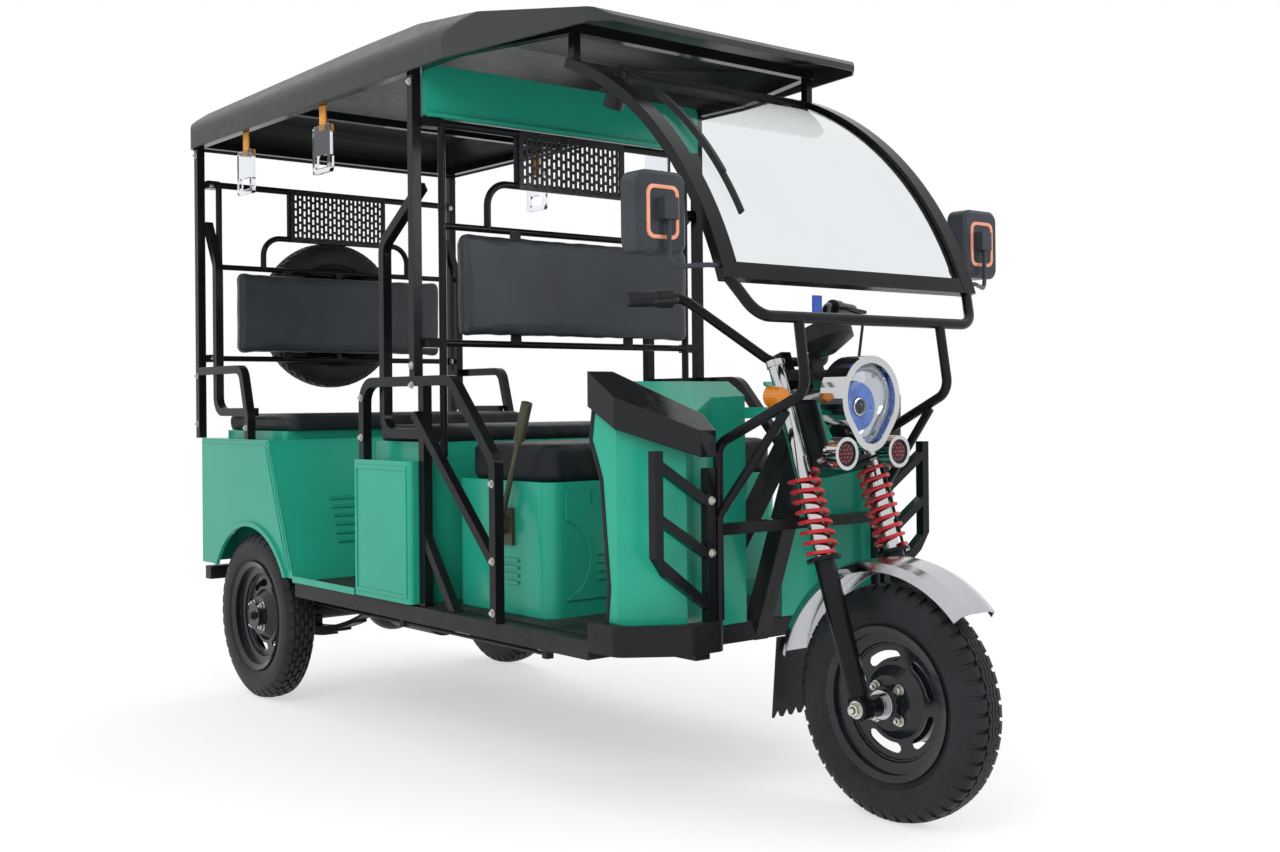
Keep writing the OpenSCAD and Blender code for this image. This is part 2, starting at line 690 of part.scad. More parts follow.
// Braces: height at the post; x, z at the other end
arm_brace = [862, 508];
foot_brace = [555, 1130];
rear_arm_z = arm_z + 42;
rear_arm_x = [-66, -22];
module armrests() placed() color(BLACK) both_sides() {
    y = side_mid;
    top = arm_z - tube / 2;
    bent([
        [mid_rear_x + 46, y, mid_top_z],
        [mid_rear_x + 46, y, top],
        [arm_bend[0], y, top],
        [arm_front_x, y, arm_bend[1]],
        [arm_front_x, y, rail_top]
    ], tube, 55);
    bar([post_x, y - tube, rail_top], [post_x, y - tube, arm_z], tube);
    bar([post_x, y, arm_brace[0]], [arm_front_x, y, arm_brace[1]], tube - 3);
    above(rail_top) bar([post_x, y - tube, foot_brace[0]], [foot_brace[1], y - tube, rail_z], tube - 3);
    bent([
        [rear_post_x + tube / 2, y, rear_arm_z],
        [rear_arm_x[0], y, rear_arm_z],
        [rear_arm_x[1], y, belt_z + 70],
        [rear_arm_x[1], y, belt_z]
    ], tube, 40);
}

// Posts that carry the canopy, and the cranked tubes beside them
post_top = lip_z + 4;
// Cranked tubes: x and z at the post, x of the upright, its top, its foot, x of the foot's end
cranks = [
    [post_x - 5, 1440, 765, 1310, 812, post_x - tube / 2],
    [rear_post_x + 5, 1480, -310, 1340, 868, -40]
];
module canopy_posts() placed() color(BLACK) both_sides() {
    y = side_mid;
    bar([post_x, y, arm_z], [post_x, y, post_top], tube);
    bar([rear_post_x, y, belt_z], [rear_post_x, y, post_top], tube);
    for (c = cranks) bent([
        [c[0], y - tube, c[1]],
        [c[2], y - tube, c[3]],
        [c[2], y - tube, c[4]],
        [c[5], y - tube, c[4]]
    ], tube, 50);
}

// Tubes under the roof, narrowing towards the windscreen
roof_taper_x = 1180;
screen_bar_x = 1505;
screen_bar_half = 392;
module roof_frame() placed() color(BLACK) {
    z = post_top + tube / 2;
    reach = roof_half - roof_t;
    both_sides() {
        bar([rear_post_x - tube / 2, side_mid, z], [roof_taper_x, side_mid, z], tube);
        bar([roof_taper_x - 8, side_mid, z], [screen_bar_x, screen_bar_half - tube / 2, z], tube - 1);
    }
    bar([rear_post_x, -side_mid, z], [rear_post_x, side_mid, z], tube - 2);
    for (x = [280, post_x]) bar([x, -reach, z], [x, reach, z], tube - 2);
    bar([screen_bar_x, -screen_bar_half, z], [screen_bar_x, screen_bar_half, z], tube);
}

// Roof: one shell from three outlines, seen from the side, from above and from the front
roof_nose_half = 425;
roof_taper = 1150;
ridge_x = 824;
roof_side_h = 105;
roof_corner = 45;
roof_shoulder = 120;
roof_round = 60;
module roof_form(t) {
    low = lip_z - (t > 0 ? 40 : 0);
    half = roof_half - t;
    nose = roof_nose_half - t;
    taper_x = roof_taper - 141;
    intersection() {
        // From the side
        across(-600, 600) polygon([
            [roof_tail_x + t, low],
            [roof_tail_x + t, ridge_z - 92 - t],
            [roof_tail_x + 24 + t, ridge_z - 62 - t],
            [roof_tail_x + 70, ridge_z - 47 - t],
            [ridge_x, ridge_z - t],
            [roof_nose_x - 30 - t, lip_z + 32 - t],
            [roof_nose_x - t, lip_z + 14 - t],
            [roof_nose_x - t, low]
        ]);
        // From above, first its corners and then its taper
        upright(low, 2000) rounded(box_points(roof_tail_x + t, roof_nose_x + 90, -half, half), roof_corner - t);
        upright(low - 1, 2001) polygon(two_sided([
            [-700, half + 20],
            [taper_x, half + 20],
            [roof_nose_x - 40, nose + 6],
            [roof_nose_x, nose - 34]
        ]));
        // From the front
        lengthwise(-600, 2000) hull() {
            for (s = [-1, 1]) {
                translate([s * (half - roof_round), lip_z + roof_side_h - roof_round - t]) circle(roof_round);
                translate([s * (half - roof_shoulder), ridge_z - roof_round - t]) circle(roof_round);
            }
            translate([-half, lip_z - 90]) square([2 * half, 100]);
        }
    }
}
module roof_shell() placed() color([0.16, 0.17, 0.18]) difference() {
    roof_form(0);
    roof_form(roof_t);
}

// Cross panel under the roof, ahead of the middle posts
header_low = 1612;
module header_panel() placed() color(GREEN) {
    x = post_x + tube / 2 + 1;
    reach = half_w - tube - 4;
    lengthwise(x, x + 12) rounded(box_points(-reach, reach, header_low, post_top + 20), 12);
    translate([x, -half_w + tube + 14, header_low]) cube([24, 2 * (half_w - tube - 14), 10]);
}

// Windscreen, bent to one radius about an axis across the vehicle
screen_c = [1206, 861];
screen_low = 18.5;
screen_high = 70;
frame_w = 42;
frame_t = 24;
loop_d = 24;
function screen_point(a, y, out) =
    [screen_c[0] + (screen_r + out) * cos(a), y, screen_c[1] + (screen_r + out) * sin(a)];
module screen_band(a_low, a_high, y_low, y_high, out_low, out_high)
    translate([screen_c[0], 0, screen_c[1]]) rotate([90, 0, 0])
        rotate_extrude(angle = a_high - a_low, start = a_low, $fn = 200) translate([screen_r + out_low, -y_high])
            square([out_high - out_low, y_high - y_low]);
loop_low = [2052, 1058];
strut_y = 252;
strut_top = [2076, 228, 905];
strut_knee_z = 795;
module windscreen_frame() placed() color(BLACK) {
    both_sides()
        screen_band(screen_low, screen_high, screen_half - frame_w, screen_half, -frame_t / 2, frame_t / 2);
    for (a = [[screen_low, screen_low + 2.4], [screen_high - 2, screen_high]])
        screen_band(a[0], a[1], -screen_half + 5, screen_half - 5, -frame_t / 2 + 1, frame_t / 2 - 1);
    // Brackets up to the roof frame
    bracket_y = screen_half - frame_w / 2;
    both_sides() bar([screen_bar_x, bracket_y, screen_point(screen_high - 1, 0, 0)[2] - 4],
        [screen_bar_x, bracket_y, post_top], tube - 5);
    // Loop below the glass
    bottom = screen_point(screen_low + 1, 0, 0);
    bent([
        [bottom[0] - 2, -screen_half + 16, bottom[2]],
        [loop_low[0], -screen_half + 60, loop_low[1]],
        [loop_low[0], screen_half - 60, loop_low[1]],
        [bottom[0] - 2, screen_half - 16, bottom[2]]
    ], loop_d, 55, true);
    // Uprights from the bumper to the loop, with a diagonal each
    both_sides() {
        foot = nose_z + nose_h;
        bent([
            [loop_low[0] + 2, strut_top[1] - 2, loop_low[1] - 4],
            strut_top,
            [guard_x, strut_y, strut_knee_z],
            [guard_x, strut_y, foot]
        ], tube - 3, 42, true);
        bar([2020, 231, 865], [guard_x, strut_y, 640], tube - 5, true);
    }
    bar([guard_x, -strut_y, 612], [guard_x, strut_y, 612], tube);
}
wiper_y = -292;
wiper_a = 65;
wiper_shaft_d = 16;
module wiper_shaft(d) bar(screen_point(wiper_a, wiper_y, -40), screen_point(wiper_a, wiper_y, 24), d, true);
module windscreen_glass() placed() color([0.75, 0.85, 0.88, 0.4]) difference() {
    pane_half = screen_half - frame_w;
    screen_band(screen_low + 2.4, screen_high - 2, -pane_half, pane_half, -glass_t / 2, glass_t / 2);
    wiper_shaft(wiper_shaft_d + 0.4);
}

// Wiper on the right, its motor behind the glass
module wiper() placed() color(BLACK) {
    translate([screen_c[0], 0, screen_c[1]]) rotate([90, 0, 0]) {
        rotate_extrude(angle = 30, start = wiper_a - 29) translate([screen_r + 14, -wiper_y - 5]) square([5, 10]);
        rotate_extrude(angle = 27, start = wiper_a - 36) translate([screen_r + glass_t / 2 + 0.5, -wiper_y - 3])
            square([14, 6]);
    }
    wiper_shaft(wiper_shaft_d);
    bar(screen_point(wiper_a, wiper_y, -glass_t / 2 - 3), screen_point(wiper_a, wiper_y, -75), 46, true);
}

// Mirrors on bent rods
mirror_at = [1930, 508, 1262];
mirror_size = [46, 128, 164];
mirror_round = 26;
mirror_socket = [22, 36, 44];
mirror_rod_d = 10;
mirror_foot = 26;
module mirrors() placed() color(BLACK) both_sides() {
    reach = mirror_size / 2 - [0, mirror_round, mirror_round];
    translate(mirror_at) hull() for (y = [-1, 1], z = [-1, 1])
        translate([0, y * reach[1], z * reach[2]]) rotate([0, 90, 0]) {
            cylinder(r = mirror_round, h = mirror_size[0], center = true, $fn = 32);
            cylinder(r = mirror_round - 8, h = mirror_size[0] + 12, center = true, $fn = 32);
        }
    // Rod from the frame's corner, up before the housing into its socket
    front_x = mirror_at[0] + mirror_size[0] / 2 + 6;
    foot = screen_point(screen_low + 2, screen_half, 0);
    socket = [front_x + mirror_socket[0] / 2 - 1, mirror_at[1] - 6, mirror_at[2] + 6];
    translate(socket) cube(mirror_socket, center = true);
    bent([
        foot,
        foot + [0, mirror_foot, 0],
        [socket[0] + 2, socket[1], foot[2] - 6],
        socket + [2, 0, 0]
    ], mirror_rod_d, 20, true);
}

// Parking brake lever beside the driver's seat
lever_y = -box_half - 22;
lever_pivot = [1222, lever_y, 592];
lever_top = [1338, lever_y, 888];
lever_bracket = [60, 10, 90];
module handbrake() placed() color([0.30, 0.30, 0.22]) {
    dir = unit(lever_top - lever_pivot);
    bar(lever_pivot, lever_top - dir * 70, 14, true);
    bar(lever_top - dir * 95, lever_top, 27, true);
    translate(lever_pivot) rotate([90, 0, 0]) cylinder(d = 44, h = 24, center = true);
    translate([lever_pivot[0] - lever_bracket[0] / 2, lever_y + 12, lever_pivot[2] - 47]) cube(lever_bracket);
}

// Hanging handles: place along X, side
handle_places = [[-50, -1], [455, -1], [165, 1], [795, 1]];
strap_l = 70;
handle_w = 105;
handle_h = 134;
strap_w = 34;
// Hand hole of a handle: inset from the sides, lower edge, upper edge
grip_window = [16, 14, 50];
module grab_handles() placed() color([0.85, 0.87, 0.90]) for (p = handle_places)
    translate([p[0], p[1] * (side_mid - 8), 0]) {
        strap_low = post_top - strap_l;
        translate([-strap_w / 2, -1.5, strap_low]) cube([strap_w, 3, strap_l]);
        across(-6, 6) translate([0, strap_low - handle_h + 14]) difference() {
            rounded(box_points(-handle_w / 2, handle_w / 2, 0, handle_h), 10);
            rounded(box_points(-handle_w / 2 + grip_window[0], handle_w / 2 - grip_window[0],
                grip_window[1], grip_window[2]), 8);
        }
    }

// Battery, closed in the driver's seat box
battery_h = 250;
battery_gap = 50;
module battery_pack() placed() color([0.2, 0.2, 0.22]) translate([box_rear_x + 30, -box_half + battery_gap, deck_z])
    cube([box_front_x - box_rear_x - 70, 2 * (box_half - battery_gap), battery_h]);

// Rear axle with its motor and differential
axle_tube_d = 62;
motor_d = 150;
// Half shafts: reach beyond the hub, then the stub for the hub nut
shaft_out = 2;
stub_d = 20;
stub_l = 10;
module rear_axle() placed() color(BLACK) translate([0, 0, tyre_r]) {
    rotate([90, 0, 0]) {
        cylinder(d = axle_tube_d, h = 2 * brake_plate_y_rear, center = true);
        cylinder(d = shaft_d, h = rear_track + 2 * (hub_half + shaft_out), center = true);
        cylinder(d = stub_d, h = rear_track + 2 * (hub_half + shaft_out + stub_l), center = true);
        for (s = [-1, 1]) translate([0, 0, s * brake_plate_y_rear]) cylinder(d = 210, h = 12, center = true);
    }
    sphere(92);
    translate([70, 0, 0]) rotate([0, 90, 0]) cylinder(d = motor_d, h = 250);
    translate([320, 0, 0]) rotate([0, 90, 0]) cylinder(d = motor_d - 24, h = 18);
}

// Leaf springs under the axle: half length of each leaf
leaves = [400, 310, 215, 130];
leaf_t = 7;
leaf_w = 45;
leaf_r = 950;
leaf_y = inner_rail_y;
saddle_h = 12;
leaf_top = tyre_r - axle_tube_d / 2 - saddle_h;
module leaf_springs() placed() color(BLACK) both_sides() difference() {
    union() {
        for (i = [0:len(leaves) - 1]) {
            a = asin(leaves[i] / leaf_r);
            translate([0, leaf_y, leaf_top + leaf_r]) rotate([90, 0, 0])
                rotate_extrude(angle = 2 * a, start = 270 - a, $fn = 200)
                    translate([leaf_r + i * leaf_t, -leaf_w / 2]) square([leaf_t, leaf_w]);
        }
        // Saddle under the axle, and the hangers under the rail
        translate([-32, leaf_y - leaf_w / 2, leaf_top - 1]) cube([64, leaf_w, saddle_h + 14]);
        eye_z = leaf_top + leaf_r - leaf_r * cos(asin(leaves[0] / leaf_r));
        for (x = [tail_x + 24, leaves[0] - 12]) {
            translate([x, leaf_y, eye_z - 6]) rotate([90, 0, 0]) cylinder(d = 30, h = leaf_w - 2, center = true);
            translate([x - 12, leaf_y - leaf_w / 2 + 1, eye_z - 6]) cube([24, leaf_w - 2, rail_z - eye_z + 6]);
        }
    }
    translate([0, 0, tyre_r]) rotate([90, 0, 0]) cylinder(d = axle_tube_d + 0.1, h = 1000, center = true);
}

// Spare wheel behind the rear seat back
module spare_place() placed() translate([spare_x, 0, spare_z]) rotate([0, 0, 90]) children();
module spare_rim() color(BLACK) spare_place() rim(shaft_d, hub_half);
module spare_tyre() color(RUBBER) spare_place() tyre();

// Seat backs: a frame of round tube with a hoop, and a perforated panel over the hoop
mesh_half = 178;
mesh_t = 2;
mesh_gap = 0.7;
hoop_half = 272;
hole_w = 7;
hole_h = 17;
hole_pitch = [16, 26];
module mesh_panel(x, low, high) lengthwise(x - mesh_t / 2, x + mesh_t / 2) difference() {
    polygon(box_points(-mesh_half, mesh_half, low, high));
    rows = floor((high - low - 16) / hole_pitch[1]);
    columns = floor((2 * mesh_half - 16) / hole_pitch[0]);
    for (i = [0:columns - 1], j = [0:rows - 1])
        translate([(i - (columns - 1) / 2) * hole_pitch[0], low + 10 + j * hole_pitch[1] + (i % 2) * 8])
            translate([-hole_w / 2, 0]) square([hole_w, hole_h]);
}
ear = 24;
strap_y = 190;
// From a pad's edge to the middle of the tube beside it
pad_gap = 10;
module back_frame(x, side, low, top, hoop_z, post) {
    low_bar = pad_low - pad_gap;
    high_bar = pad_high + pad_gap;
    for (s = [-1, 1]) {
        bar([x, s * side, low], [x, s * side, top], back_tube, true);
        // Ears to the posts
        for (z = [low_bar, top])
            translate([min(x, post) - 8, s > 0 ? side : -side_mid + tube / 2, z - ear / 2])
                cube([abs(post - x) + 16, side_mid - tube / 2 - side, ear]);
        bar([x, s * mesh_half, hoop_z], [x, s * mesh_half, top], back_tube - 3, true);
        // Straps behind the pad
        translate([x + back_tube / 2 - 5, s * strap_y - 16, low_bar]) cube([5, 32, high_bar - low_bar]);
    }
    for (z = [low_bar, high_bar]) bar([x, -side, z], [x, side, z], back_tube - 2, true);
    bar([x, -side - 4, top], [x, side + 4, top], back_tube + 1, true);
    bent([
        [x, -hoop_half, high_bar],
        [x, -hoop_half, hoop_z],
        [x, hoop_half, hoop_z],
        [x, hoop_half, high_bar]
    ], back_tube - 1, 60, true);
}
mid_back_x = post_x + 20;
// The two frames: x, inset of the sides, foot, top, height of the hoop, x of the post
back_frames = [
    [back_rear_x, 52, 868, 1606, 1446, rear_post_x + 2],
    [mid_back_x, 68, mid_top_z + 10, header_low - 12, 1462, post_x]
];
module seat_back_frames() placed() color(BLACK) {
    for (f = back_frames) back_frame(f[0], side_mid - f[1], f[2], f[3], f[4], f[5]);
    // Carrier for the spare wheel
    translate([spare_x - 40, 0, spare_z]) rotate([0, 90, 0])
        cylinder(d = shaft_d, h = back_rear_x - spare_x + 40);
    bar([back_rear_x, 0, pad_low - pad_gap], [back_rear_x, 0, pad_high + pad_gap], back_tube - 2);
}
// Perforated panels, on the front of the tubes
module seat_back_meshes() placed() color(BLACK) for (f = back_frames)
    mesh_panel(f[0] + back_tube / 2 + mesh_gap + mesh_t / 2, f[4] - 8, f[3] + 8);
module seat_back_pads() placed() color(VINYL) for (x = [back_rear_x, mid_back_x])
    translate([x + back_tube / 2, 0, 0]) hull() for (y = [-1, 1], z = [pad_low + 20, pad_high - 20])
        translate([0, y * (pad_half - 20), z]) rotate([0, 90, 0]) {
            cylinder(r = 20, h = pad_t - 10, $fn = 24);
            cylinder(r = 12, h = pad_t, $fn = 24);
        }

// Steered front end
slider_top = 322;
front_hub_half = 66;
yoke_t = 26;
module yoke_plate() linear_extrude(yoke_t, center = true) {
    rounded([[-fork_offset - 30, -32], [20, -leg_y - 28], [20, leg_y + 28], [-fork_offset - 30, 32]], 18);
}
module fork_yokes() placed() color(BLACK) in_fork() difference() {
    union() {
        translate([0, 0, yoke_low]) yoke_plate();
        translate([0, 0, yoke_high]) yoke_plate();
        translate([-fork_offset, 0, yoke_low]) cylinder(d = stem_d, h = yoke_high - yoke_low);
    }
    for (s = [-1, 1]) translate([0, s * leg_y, yoke_low - 40]) cylinder(d = leg_d + 0.1, h = 300);
}
module fork_tubes() placed() color(STEEL) in_fork() both_sides() translate([0, leg_y, 0]) {
    translate([0, 0, slider_top]) cylinder(d = leg_d, h = yoke_high + 25 - slider_top);
    translate([0, 0, yoke_high + 25]) cylinder(d = leg_d + 6, h = 14);
}
brake_plate_y = front_hub_half + 6;
module fork_sliders() placed() color(BLACK) in_fork() {
    for (s = [-1, 1]) translate([0, s * leg_y, 0]) {
        translate([0, 0, 26]) cylinder(d = slider_d, h = slider_top - 26);
        translate([0, 0, slider_top - 8]) cylinder(d = 2 * spring_r + spring_wire, h = 8);
        rotate([90, 0, 0]) cylinder(d = slider_d + 4, h = 30, center = true);
        translate([-14, -13, 0]) cube([28, 26, 60]);
        rotate([s * 90, 0, 0]) cylinder(d = spindle_d + 10, h = leg_y - front_hub_half - 1);
    }
    rotate([90, 0, 0]) cylinder(d = spindle_d, h = 2 * leg_y + 60, center = true);
    // Brake plate that closes the drum
    translate([0, brake_plate_y, 0]) rotate([-90, 0, 0]) cylinder(d = drum_d + 8, h = 8);
}

// Coil with ground ends, swept along a helix
spring_low = slider_top;
spring_high = yoke_low - yoke_t / 2 - spring_wire / 2;
spring_sides = 7;
spring_steps = 14;
function coil_z(i) = let (start = spring_low + spring_wire / 2)
    start + (spring_high - start) * i / (spring_turns * spring_steps);
function coil_point(i, j) = let (
    a = 360 * i / spring_steps,
    b = 360 * j / spring_sides,
    r = spring_r + spring_wire / 2 * cos(b)
) [r * cos(a), r * sin(a), coil_z(i) + spring_wire / 2 * sin(b)];
module coil() {
    n = spring_turns * spring_steps;
    s = spring_sides;
    polyhedron(
        [for (i = [0:n], j = [0:s - 1]) coil_point(i, j)],
        concat([[for (j = [0:s - 1]) j]], [[for (j = [s - 1:-1:0]) n * s + j]],
            [for (i = [0:n - 1], j = [0:s - 1]) let (k = (j + 1) % s) each [
                [i * s + j, (i + 1) * s + k, i * s + k],
                [i * s + j, (i + 1) * s + j, (i + 1) * s + k]
            ]]));
}
module fork_springs() placed() color(RED) in_fork() both_sides() translate([0, leg_y, 0]) coil();

// Handlebar, clamped on the upper yoke and swept up and back
bar_d = 22;
clamp = fork_point(-fork_offset + 8, 0, yoke_high + 52);
grip_end = [wheelbase - 444, bar_half, grip_z];
grip_in = [wheelbase - 406, bar_half - 128, grip_z + 4];
module handlebar() placed() color(BLACK) {
    half = [[clamp[0], 86, clamp[2]], grip_in, grip_end];
    bent(concat([for (i = [2:-1:0]) [half[i][0], -half[i][1], half[i][2]]], half), bar_d, 38, true);
    both_sides() in_fork() translate([-fork_offset - 9, 33, yoke_high + yoke_t / 2]) cube([34, 30, 56]);
}
// Cable of the front brake, from the left lever down the fork leg to the brake plate
cable_d = 7;
cable_y = leg_y + 46;
cable_x = -6;
cable_end = [-58, 58];
module brake_cable() {
    start = grip_in + unit(grip_end - grip_in) * 42 + [34, 0, -4];
    bent([
        start,
        start + [70, -10, -20],
        fork_point(cable_x, cable_y, yoke_high + 20),
        fork_point(cable_x, cable_y, 190),
        fork_point(cable_end[0], cable_y - 20, cable_end[1]),
        fork_point(cable_end[0], brake_plate_y + 8.3, cable_end[1])
    ], cable_d, 24, true);
    // Clip to the lower fork leg
    in_fork() difference() {
        translate([cable_x - 5, leg_y + slider_d / 2 - 4, 240]) cube([10, cable_y - leg_y - slider_d / 2 + 4, 12]);
        translate([0, leg_y, 200]) cylinder(d = slider_d + 0.1, h = 100);
    }
}
module controls() placed() color([0.1, 0.1, 0.11]) {
    both_sides() {
        dir = unit(grip_end - grip_in);
        pod = grip_in + dir * 30;
        difference() {
            union() {
                bar(pod + dir * 30, grip_end + dir * 4, bar_d + 11, true);
                bar(pod, pod + dir * 34, bar_d + 18, true);
                bent([pod + dir * 12, pod + dir * 12 + [45, 0, -4], grip_end + [66, -20, -8]], 10, 14, true);
            }
            bar(grip_in - dir * 10, grip_end, bar_d + 0.1, true);
        }
    }
    // Instrument pod on the upper yoke, over the lamp
    in_fork() hull() {
        translate([70, 0, yoke_high + 62]) cylinder(d = 112, h = 34, $fn = 32);
        translate([46, 0, yoke_high + yoke_t / 2 + 28]) cylinder(d = 60, h = 20, $fn = 32);
    }
    in_fork() translate([4, -16, yoke_high + yoke_t / 2]) cube([16, 32, 34]);
    in_fork() translate([4, -16, yoke_high + yoke_t / 2 + 30]) cube([40, 32, 10]);
    brake_cable();
}

// Headlamp: egg outline, wide above
lamp_c = [wheelbase - 127, 0, 865];
egg_top = 92;
egg_low = 60;
egg_gap = 54;
egg_rise = 26;
bezel_w = 16;
module egg(grow) translate([0, egg_rise]) hull() {
    circle(egg_top + grow);
    translate([0, -egg_gap]) circle(egg_low + grow);
}
lamp_bracket = 672;
module headlamp() placed() color([0.3, 0.3, 0.32]) {
    translate(lamp_c) difference() {
        lengthwise(0, 66) egg(0);
        lengthwise(14, 70) egg(-bezel_w);
    }
    hull() {
        translate(lamp_c + [-2, 0, egg_rise]) rotate([0, 90, 0]) cylinder(r = egg_top - 12, h = 4, $fn = 32);
        translate(lamp_c + [-50, 0, egg_rise]) rotate([0, 90, 0]) cylinder(r = 38, h = 2, $fn = 32);
        translate(lamp_c + [-2, 0, egg_rise - egg_gap]) rotate([0, 90, 0]) cylinder(r = egg_low - 12, h = 4, $fn = 32);
    }
    // Bracket with a clamp round each fork leg
    in_fork() difference() {
        union() {
            for (s = [-1, 1]) translate([0, s * leg_y, lamp_bracket - 14]) cylinder(d = leg_d + 12, h = 28);
            translate([16, -leg_y - 6, lamp_bracket - 12]) cube([26, 2 * leg_y + 12, 24]);
        }
        for (s = [-1, 1]) translate([0, s * leg_y, lamp_bracket - 20]) cylinder(d = leg_d + 0.1, h = 40);
    }
}
module headlamp_lens() placed() color([0.6, 0.75, 0.95, 0.6]) translate(lamp_c) lengthwise(44, 60) egg(-bezel_w);

horn_x = 84;
horn_y = 84;
horn_r = 35;
grille_r = 27;
// Holes of a horn's grille: radius of the ring, count, diameter
grille_rings = [[8, 6, 5], [15, 10, 6], [22, 14, 6]];
module horns() placed() color(STEEL) in_fork() both_sides() {
    translate([horn_x, horn_y, yoke_low]) rotate([0, 90 + rake, 0]) {
        difference() {
            cylinder(r = horn_r, h = 30);
            translate([0, 0, 16]) cylinder(r = grille_r, h = 20);
        }
        difference() {
            translate([0, 0, 22]) cylinder(r = grille_r + 1, h = 2.5);
            for (g = grille_rings, i = [0:g[1] - 1]) rotate(i * 360 / g[1]) translate([g[0], 0, 20])
                cylinder(d = g[2], h = 8);
        }
        translate([0, 0, -20]) cylinder(r = 22, h = 21);
    }
    translate([20, horn_y, yoke_low]) rotate([0, 90, 0]) cylinder(d = 12, h = horn_x - 20);
}
module front_indicators() placed() color(AMBER) in_fork() both_sides() {
    translate([29, leg_y + 6, lamp_bracket]) rotate([-90, 0, 0]) cylinder(d = 12, h = 34);
    translate([29, leg_y + 52, lamp_bracket]) rotate([0, 90 + rake, 0])
        cylinder(r1 = 24, r2 = 20, h = 36, center = true);
}

// Mudguard and flap, turned about the spindle
guard_half = 62;
guard_sheet = 2.5;
// Half of the guard's section from its edge to its crown: drop from the radius, distance in from the edge
guard_section = [[26, 0], [7, 8], [0, 30]];
function guard_side(t, half) = [for (p = guard_section) [guard_r - p[0] - t * (p[0] < 20 ? 1 : 0),
    half - p[1] - t * (p[1] < 20 ? 1 : 0)]];
module guard_band(a_low, a_high, t, half) translate([wheelbase, 0, tyre_r]) rotate([90, 0, 0])
    rotate_extrude(angle = a_high - a_low, start = a_low, $fn = 120) {
        outer = guard_side(0, half);
        inner = guard_side(t, half);
        polygon(concat(two_sided(outer), [for (i = [0:2]) [inner[i][0], -inner[i][1]]], [for (i = [2:-1:0]) inner[i]]));
    }
guard_start = 44;
guard_end = 166;
stay = [18, 8];
module front_mudguard() placed() color(STEEL) {
    guard_band(guard_start, guard_end, guard_sheet, guard_half);
    both_sides() in_fork() difference() {
        translate([-stay[0] / 2, guard_half - 4, guard_r - 22]) cube([stay[0], leg_y - guard_half, stay[1]]);
        translate([0, leg_y, 0]) cylinder(d = slider_d, h = 400);
        translate([-20, leg_y, 0]) cube([40, 40, 400]);
    }
}
// Flap on the guard's rear end, its lower edge cut in teeth: x and z
flap_top = [wheelbase - 299, 356];
flap_low = [wheelbase - 316, 172];
flap_t = 5;
flap_gap = 0.3;
flap_half = guard_half - 4;
teeth = 4;
tooth_h = 20;
module mudflap() placed() color(RUBBER) difference() {
    across(-flap_half, flap_half) polygon([
        [flap_low[0], flap_low[1]],
        [flap_low[0] + flap_t, flap_low[1]],
        [flap_top[0] + 4 * flap_t, flap_top[1]],
        [flap_top[0], flap_top[1]]
    ]);
    translate([wheelbase, 0, tyre_r]) rotate([90, 0, 0])
        cylinder(r = guard_r + flap_gap, h = 400, center = true, $fn = 120);
    pitch = 2 * flap_half / teeth;
    for (i = [0:teeth - 1]) lengthwise(flap_low[0] - 50, flap_low[0] + 100) translate([(i + 0.5 - teeth / 2) * pitch, 0])
        polygon([[-pitch * 0.4, flap_low[1] - 1], [pitch * 0.4, flap_low[1] - 1], [0, flap_low[1] + tooth_h]]);
}

module front_rim() placed() color(BLACK)
    translate([wheelbase, 0, tyre_r]) rim(spindle_d, front_hub_half, front_hub_half);
module front_tyre() placed() color(RUBBER) translate([wheelbase, 0, tyre_r]) tyre();
drum_l = rear_track / 2 - brake_plate_y_rear - 12;
module rear_place(s) placed() translate([0, s * rear_track / 2, tyre_r]) children();
module rear_rim_right() color(BLACK) rear_place(-1) rim(shaft_d, hub_half, drum_l);
module rear_tyre_right() color(RUBBER) rear_place(-1) tyre();
module rear_rim_left() color(BLACK) rear_place(1) mirror([0, 1, 0]) rim(shaft_d, hub_half, drum_l);
module rear_tyre_left() color(RUBBER) rear_place(1) tyre();

chassis_frame();
floor_deck();
nose_bumper();
leg_guards();
leg_shield();
leg_shield_caps();
driver_seat_box();
driver_cushion();
mid_seat_box();
mid_cushion();
rear_seat_box();
rear_cushion();
seat_back_frames();
seat_back_meshes();
seat_back_pads();
side_panels();
tail_panel();
tail_lamps();
armrests();
canopy_posts();
roof_frame();
roof_shell();
header_panel();
windscreen_frame();
windscreen_glass();
wiper();
mirrors();
handbrake();
grab_handles();
battery_pack();
rear_axle();
leaf_springs();
spare_rim();
spare_tyre();
fork_yokes();
fork_tubes();
fork_sliders();
fork_springs();
handlebar();
controls();
headlamp();
headlamp_lens();
horns();
front_indicators();
front_mudguard();
mudflap();
front_rim();
front_tyre();
rear_rim_right();
rear_tyre_right();
rear_rim_left();
rear_tyre_left();
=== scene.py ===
import math

import bmesh
import bpy
from mathutils import Matrix, Vector


